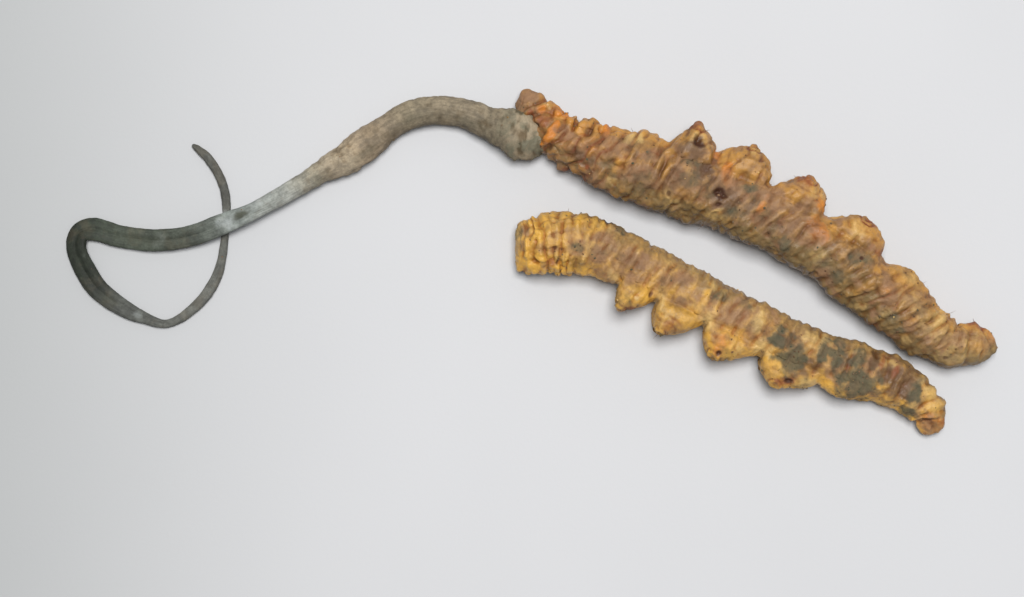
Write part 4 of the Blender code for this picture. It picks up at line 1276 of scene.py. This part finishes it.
def skin_inputs(shades, ring_depth, fold, lump, crust):
    """The colours of a larva's plain skin, and the heights of its relief in millimetres."""
    # The crest colour is a painted highlight on the crests, and the crease tint is painted shade in the
    # creases.
    told = (
        ("dark", "Dark skin", "Darker parts of the plain skin"),
        ("light", "Light skin", "Lighter parts of the plain skin"),
        ("ochre", "Ochre", "Bright parts of the skin"),
        ("olive", "Olive", "Olive film along the back"),
        ("crest", "Crests", "Worn crests of the folds"),
        ("crease_tint", "Crease tint", "Tint of dirty creases"),
    )
    inputs = {key: colour(*words, *shade) for (key, *words), shade in zip(told, shades)}
    inputs["ring_depth"] = share("Ring depth", "Depth of a ring, as a share of its length", ring_depth)
    inputs["ridge_height"] = length("Ridge height", "Height of the soft ridges", 0.06, 0.5)
    inputs["fold_height"] = length("Fold height", "Height of the swollen folds", fold, 1)
    inputs["lump_height"] = length("Lump height", "Height of the uneven swellings", lump, 1)
    inputs["crust_height"] = length("Crust height", "Thickness of the soil", crust, 0.5)
    return inputs


class CORDYCEPS_PG_large_larva(bpy.types.PropertyGroup):
    """Skin of the large larva"""

    __annotations__ = skin_inputs(
        ((108, 80, 50), (150, 111, 65), (190, 138, 64), (122, 103, 69), (168, 128, 76), (222, 202, 178)),
        ring_depth=0.155,
        fold=0.44,
        lump=0.22,
        crust=0.07,
    )


class CORDYCEPS_PG_small_larva(bpy.types.PropertyGroup):
    """Skin of the small larva"""

    __annotations__ = skin_inputs(
        ((144, 106, 62), (188, 144, 82), (214, 164, 70), (142, 120, 84), (212, 168, 94), (218, 192, 158)),
        ring_depth=0.19,
        fold=0.36,
        lump=0.16,
        crust=0.09,
    )


class CORDYCEPS_PG_stalk(bpy.types.PropertyGroup):
    """The fungus stalk"""

    crust: colour("Crust", "Earth on the foot of the stalk", 146, 132, 110)
    green_crust: colour("Green crust", "Greenish earth on the foot of the stalk", 112, 108, 90)
    brown: colour("Brown film", "Brown patches along the stalk", 112, 98, 76)
    # The pale film is a painted highlight where the ribbon catches the light, and the dark film is painted
    # shade on the ribbon, the swelling and the hollows.
    pale: colour("Pale film", "Pale patches where the ribbon catches the light", 176, 182, 182)
    dusk: colour("Dark film", "Dark patches on the ribbon and in the hollows", 66, 68, 56)
    # Painted shade in the stalk's furrows.
    crease_tint: colour("Crease tint", "Tint of the furrows", 192, 184, 172)
    relief: length("Relief", "Height of the lumps and furrows", 0.30, 1)
    lump_size: length("Lump size", "Width of one lump", 1.3, 5)
    grain_size: length("Grain size", "Width of one grain of the crust", 0.55, 5)
    sides: bpy.props.IntProperty(
        name="Sides", description="Points round the stalk", default=44, min=8, max=128
    )


class CORDYCEPS_PG_soil(bpy.types.PropertyGroup):
    """Loose grains of soil"""

    smallest: length("Smallest", "Half the width of the smallest grain", 0.035, 1)
    largest: length("Largest", "Half the width of the largest grain", 0.15, 1)
    density: number("Density", "Grains for each square metre of soil", 4.5e6)


class CORDYCEPS_PG_bristles(bpy.types.PropertyGroup):
    """Fine hairs of the skin"""

    length: length("Length", "Length of the longest hair", 0.75, 3)
    thickness: length("Thickness", "Thickness of a hair at its root", 0.045, 1)
    density: number("Density", "Hairs for each square metre of bristly skin", 1.6e6)


class CORDYCEPS_PG_stage(bpy.types.PropertyGroup):
    """Floor, light and camera"""

    floor: colour("Floor", "Colour of the floor", 198, 199, 202)
    # The dim floor colour is painted shade on the left of the floor.
    dim_floor: colour("Dim floor", "Colour of the floor far to the left", 157, 160, 160)
    key_power: number("Key light", "Power of the main soft light", 4.25, unit="POWER")
    fill_power: number("Fill light", "Power of the second soft light", 0.25, unit="POWER")
    sky: number("Sky", "Strength of the light from all round", 0.22)
    lens: number("Lens", "Focal length of the camera", 85, unit="CAMERA", min=20)


class CORDYCEPS_PG_settings(bpy.types.PropertyGroup):
    """All sizes and colours of the pair"""

    palette: bpy.props.PointerProperty(type=CORDYCEPS_PG_palette)
    large: bpy.props.PointerProperty(type=CORDYCEPS_PG_large_larva)
    small: bpy.props.PointerProperty(type=CORDYCEPS_PG_small_larva)
    stalk: bpy.props.PointerProperty(type=CORDYCEPS_PG_stalk)
    soil: bpy.props.PointerProperty(type=CORDYCEPS_PG_soil)
    bristles: bpy.props.PointerProperty(type=CORDYCEPS_PG_bristles)
    stage: bpy.props.PointerProperty(type=CORDYCEPS_PG_stage)


def start_skin(size, body, segments, prolegs, belly_left, slants, seed):
    """A larva's skin with its lumps, rings and ridges, which lean over by two slants."""
    skin = Skin(size, segments, prolegs, belly_left, seed)
    skin.add_lumps(body.lump_height / MM)
    skin.add_rings(body.ring_depth, slants[0])
    skin.add_ridges(slants[1], body.ridge_height / MM)
    return skin


def skin_piece(size, skin, body, palette):
    """The finished object of a skin."""
    skin.crust(body.crust_height / MM)
    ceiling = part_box(size + "_larva")[1][2] / MM
    name = size + "_larva_skin"
    mesh = closed_mesh(name, *skin.finished(ceiling))
    mesh.materials.append(skin_material(size + "_skin_finish", body, palette))
    return placed(name, mesh)


class CORDYCEPS_OT_large_larva(bpy.types.Operator):
    """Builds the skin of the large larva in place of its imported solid"""

    bl_idname = "cordyceps.large_larva"
    bl_label = "Large larva"

    def execute(self, context):
        settings = context.scene.cordyceps
        body = settings.large
        skin = start_skin("large", body, LARGE_LARVA, LARGE_PROLEGS, True, (0.27, 0.36), 11)
        at, fold = skin.at, body.fold_height / MM
        thorax = window(at, 0.6, 1.4, 4.2, 7.6)
        front = window(at, 4.4, 5.6, 8.2, 9.8)
        rear = window(at, 7.8, 9.5, 13.4, 14.6)
        skin.add_folds(1.35, 2.6, 0.40, fold, thorax, "rust", 0.45)
        skin.add_folds(1.05, 3.4, 0.45, 0.45 * fold, front, "umber", 0.45)
        skin.add_folds(1.75, 4.2, 0.40, 0.5 * fold, rear, "umber", 0.30)
        skin.add_feet(0.8)
        skin.add_bands(1.0, 0.85, 0.75)
        skin.add_marks(LARGE_MARKS)
        skin.add_common_stains(
            soil=(3.2, 0.22, 0.6),
            mauve=(2.6, 0.18, 0.4),
            ochre=(2.0, 0.12, 0.5),
            rust=(1.6, 0.45, 0.6),
        )
        skin.stain("amber", 0.25 * thorax**2)
        piece = skin_piece("large", skin, body, settings.palette)
        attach(piece, "root")
        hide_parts("large_larva")
        return {"FINISHED"}


class CORDYCEPS_OT_small_larva(bpy.types.Operator):
    """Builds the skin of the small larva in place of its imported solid"""

    bl_idname = "cordyceps.small_larva"
    bl_label = "Small larva"

    def execute(self, context):
        settings = context.scene.cordyceps
        body = settings.small
        skin = start_skin("small", body, SMALL_LARVA, SMALL_PROLEGS, False, (-0.20, -0.10), 23)
        head = smooth_step(5.2, 3.6, skin.at)
        skin.add_folds(0.85, 1.4, 0.0, body.fold_height / MM, head, "rust", 0.20)
        skin.add_feet(0.6)
        skin.add_bands(0.6, 0.95, 0.70)
        skin.add_marks(SMALL_MARKS)
        skin.add_common_stains(
            soil=(3.0, 0.30, 0.8),
            mauve=(2.4, 0.15, 0.7),
            cream=(2.2, 0.25, 0.7),
            rust=(1.5, 0.50, 0.5),
        )
        skin.stain("ochre", 0.7 * head)
        piece = skin_piece("small", skin, body, settings.palette)
        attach(piece, "root")
        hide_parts("small_larva")
        return {"FINISHED"}


class CORDYCEPS_OT_stalk(bpy.types.Operator):
    """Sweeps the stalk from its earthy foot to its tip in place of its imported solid"""

    bl_idname = "cordyceps.stalk"
    bl_label = "Stalk"

    def execute(self, context):
        stalk = context.scene.cordyceps.stalk
        numbers = {
            "Sides": stalk.sides,
            "Relief": stalk.relief,
            "Lump size": stalk.lump_size,
            "Grain size": stalk.grain_size,
            "Fibre stretch": 26.0,
            "Seed": 4.0,
        }
        name = "stalk_skin"
        material = stalk_material("stalk_finish", stalk)
        piece = grown(name, stalk_path(name), stalk_tree(numbers), numbers, material)
        add_stalk_stains(piece.data)
        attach(piece, "root")
        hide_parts("stalk")
        return {"FINISHED"}


def grow_on(host, ending, tree, numbers, material):
    """A piece that a tree grows on a copy of a host's skin, fixed to the same body."""
    skin = bpy.data.objects[host + "_skin"].data.copy()
    skin.materials.clear()
    piece = grown(host + ending, skin, tree, numbers, material)
    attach(piece, "root")


class CORDYCEPS_OT_soil_crumbs(bpy.types.Operator):
    """Scatters grains of soil over the skins and the foot of the stalk"""

    bl_idname = "cordyceps.soil_crumbs"
    bl_label = "Soil crumbs"

    def execute(self, context):
        settings = context.scene.cordyceps
        soil = settings.soil
        numbers = {"Density": soil.density, "Smallest": soil.smallest, "Largest": soil.largest}
        numbers.update({"Clear of floor": 0.00035, "Seed": 3})
        tree = crumb_tree(numbers)
        material = crumb_material("soil_finish", settings.palette)
        for host in ("large_larva", "small_larva", "stalk"):
            grow_on(host, "_soil", tree, numbers, material)
        return {"FINISHED"}


class CORDYCEPS_OT_bristles(bpy.types.Operator):
    """Stands fine hairs on the two larvae"""

    bl_idname = "cordyceps.bristles"
    bl_label = "Bristles"

    def execute(self, context):
        settings = context.scene.cordyceps
        hair = settings.bristles
        numbers = {"Density": hair.density, "Length": hair.length, "Thickness": hair.thickness}
        numbers.update({"Clear of floor": 0.0012, "Seed": 5})
        tree = bristle_tree(numbers)
        material = bristle_material("bristle_finish", settings.palette)
        for host in ("large_larva", "small_larva"):
            grow_on(host, "_bristles", tree, numbers, material)
        return {"FINISHED"}


# Painted shade on the floor, from the left.
DIM_LEFT = (-78, -6)  # where the floor is dim, and where it is no longer
VIEW_WIDTH = 0.09216  # what the photograph shows from left to right
VIEW_CENTRE = (-0.00171, -0.00308)
VIEW_HEIGHT = 0.002  # the level at which the view has that width
SENSOR = 36.0
FLOOR_HALF = 1.5
FLOOR_LEVEL = -0.00002


def shown(name, data, place):
    """An object that holds a light or a camera."""
    thing = placed(name, data)
    thing.location = place
    return thing


def area_light(name, place, size, power, shade):
    """A square soft light that looks at the middle of the pair."""
    light = bpy.data.lights.new(name, "AREA")
    light.shape = "SQUARE"
    light.size = size
    light.energy = power
    light.color = shade
    lamp = shown(name, light, place)
    lamp.rotation_euler = lamp.location.to_track_quat("Z", "Y").to_euler()


class CORDYCEPS_OT_stage(bpy.types.Operator):
    """Lays the floor and sets up the soft light and the camera"""

    bl_idname = "cordyceps.stage"
    bl_label = "Stage"

    def execute(self, context):
        stage = context.scene.cordyceps.stage
        mesh = bpy.data.meshes.new("floor")
        turns = ((-1, -1), (1, -1), (1, 1), (-1, 1))
        corners = [(FLOOR_HALF * x, FLOOR_HALF * y, FLOOR_LEVEL) for x, y in turns]
        mesh.from_pydata(corners, [], [(0, 1, 2, 3)])
        mesh.materials.append(floor_material("floor_finish", stage))
        placed("floor", mesh)
        world = bpy.data.worlds.new("soft_sky")
        world.use_nodes = True
        background = world.node_tree.nodes["Background"]
        background.inputs["Color"].default_value = (0.97, 0.98, 1.0, 1.0)
        background.inputs["Strength"].default_value = stage.sky
        context.scene.world = world
        area_light("key_light", (0.03, 0.11, 0.60), 0.24, stage.key_power, (1.0, 0.99, 0.97))
        area_light("fill_light", (0.02, 0.42, 0.30), 0.60, stage.fill_power, (0.97, 0.98, 1.0))
        data = bpy.data.cameras.new("camera")
        data.lens = stage.lens
        data.sensor_width = SENSOR
        data.clip_start = 0.005
        data.clip_end = 10
        distance = VIEW_WIDTH * stage.lens / SENSOR
        context.scene.camera = shown("camera", data, (*VIEW_CENTRE, VIEW_HEIGHT + distance))
        context.scene.view_settings.view_transform = "Standard"
        return {"FINISHED"}


OPERATORS = (
    CORDYCEPS_OT_large_larva,
    CORDYCEPS_OT_small_larva,
    CORDYCEPS_OT_stalk,
    CORDYCEPS_OT_soil_crumbs,
    CORDYCEPS_OT_bristles,
    CORDYCEPS_OT_stage,
)


class CORDYCEPS_PT_panel(bpy.types.Panel):
    """Lists the steps that build the pair"""

    bl_idname = "CORDYCEPS_PT_panel"
    bl_label = "Cordyceps"
    bl_space_type = "VIEW_3D"
    bl_region_type = "UI"
    bl_category = "Cordyceps"

    def draw(self, context):
        for operator in OPERATORS:
            self.layout.operator(operator.bl_idname)


CLASSES = (
    CORDYCEPS_PG_palette,
    CORDYCEPS_PG_large_larva,
    CORDYCEPS_PG_small_larva,
    CORDYCEPS_PG_stalk,
    CORDYCEPS_PG_soil,
    CORDYCEPS_PG_bristles,
    CORDYCEPS_PG_stage,
    CORDYCEPS_PG_settings,
    *OPERATORS,
    CORDYCEPS_PT_panel,
)


def register():
    for made in CLASSES:
        bpy.utils.register_class(made)
    bpy.types.Scene.cordyceps = bpy.props.PointerProperty(type=CORDYCEPS_PG_settings)


def unregister():
    del bpy.types.Scene.cordyceps
    for made in reversed(CLASSES):
        bpy.utils.unregister_class(made)


def main():
    register()
    bpy.ops.cordyceps.large_larva()
    bpy.ops.cordyceps.small_larva()
    bpy.ops.cordyceps.stalk()
    bpy.ops.cordyceps.soil_crumbs()
    bpy.ops.cordyceps.bristles()
    bpy.ops.cordyceps.stage()


if __name__ == "__main__":
    main()
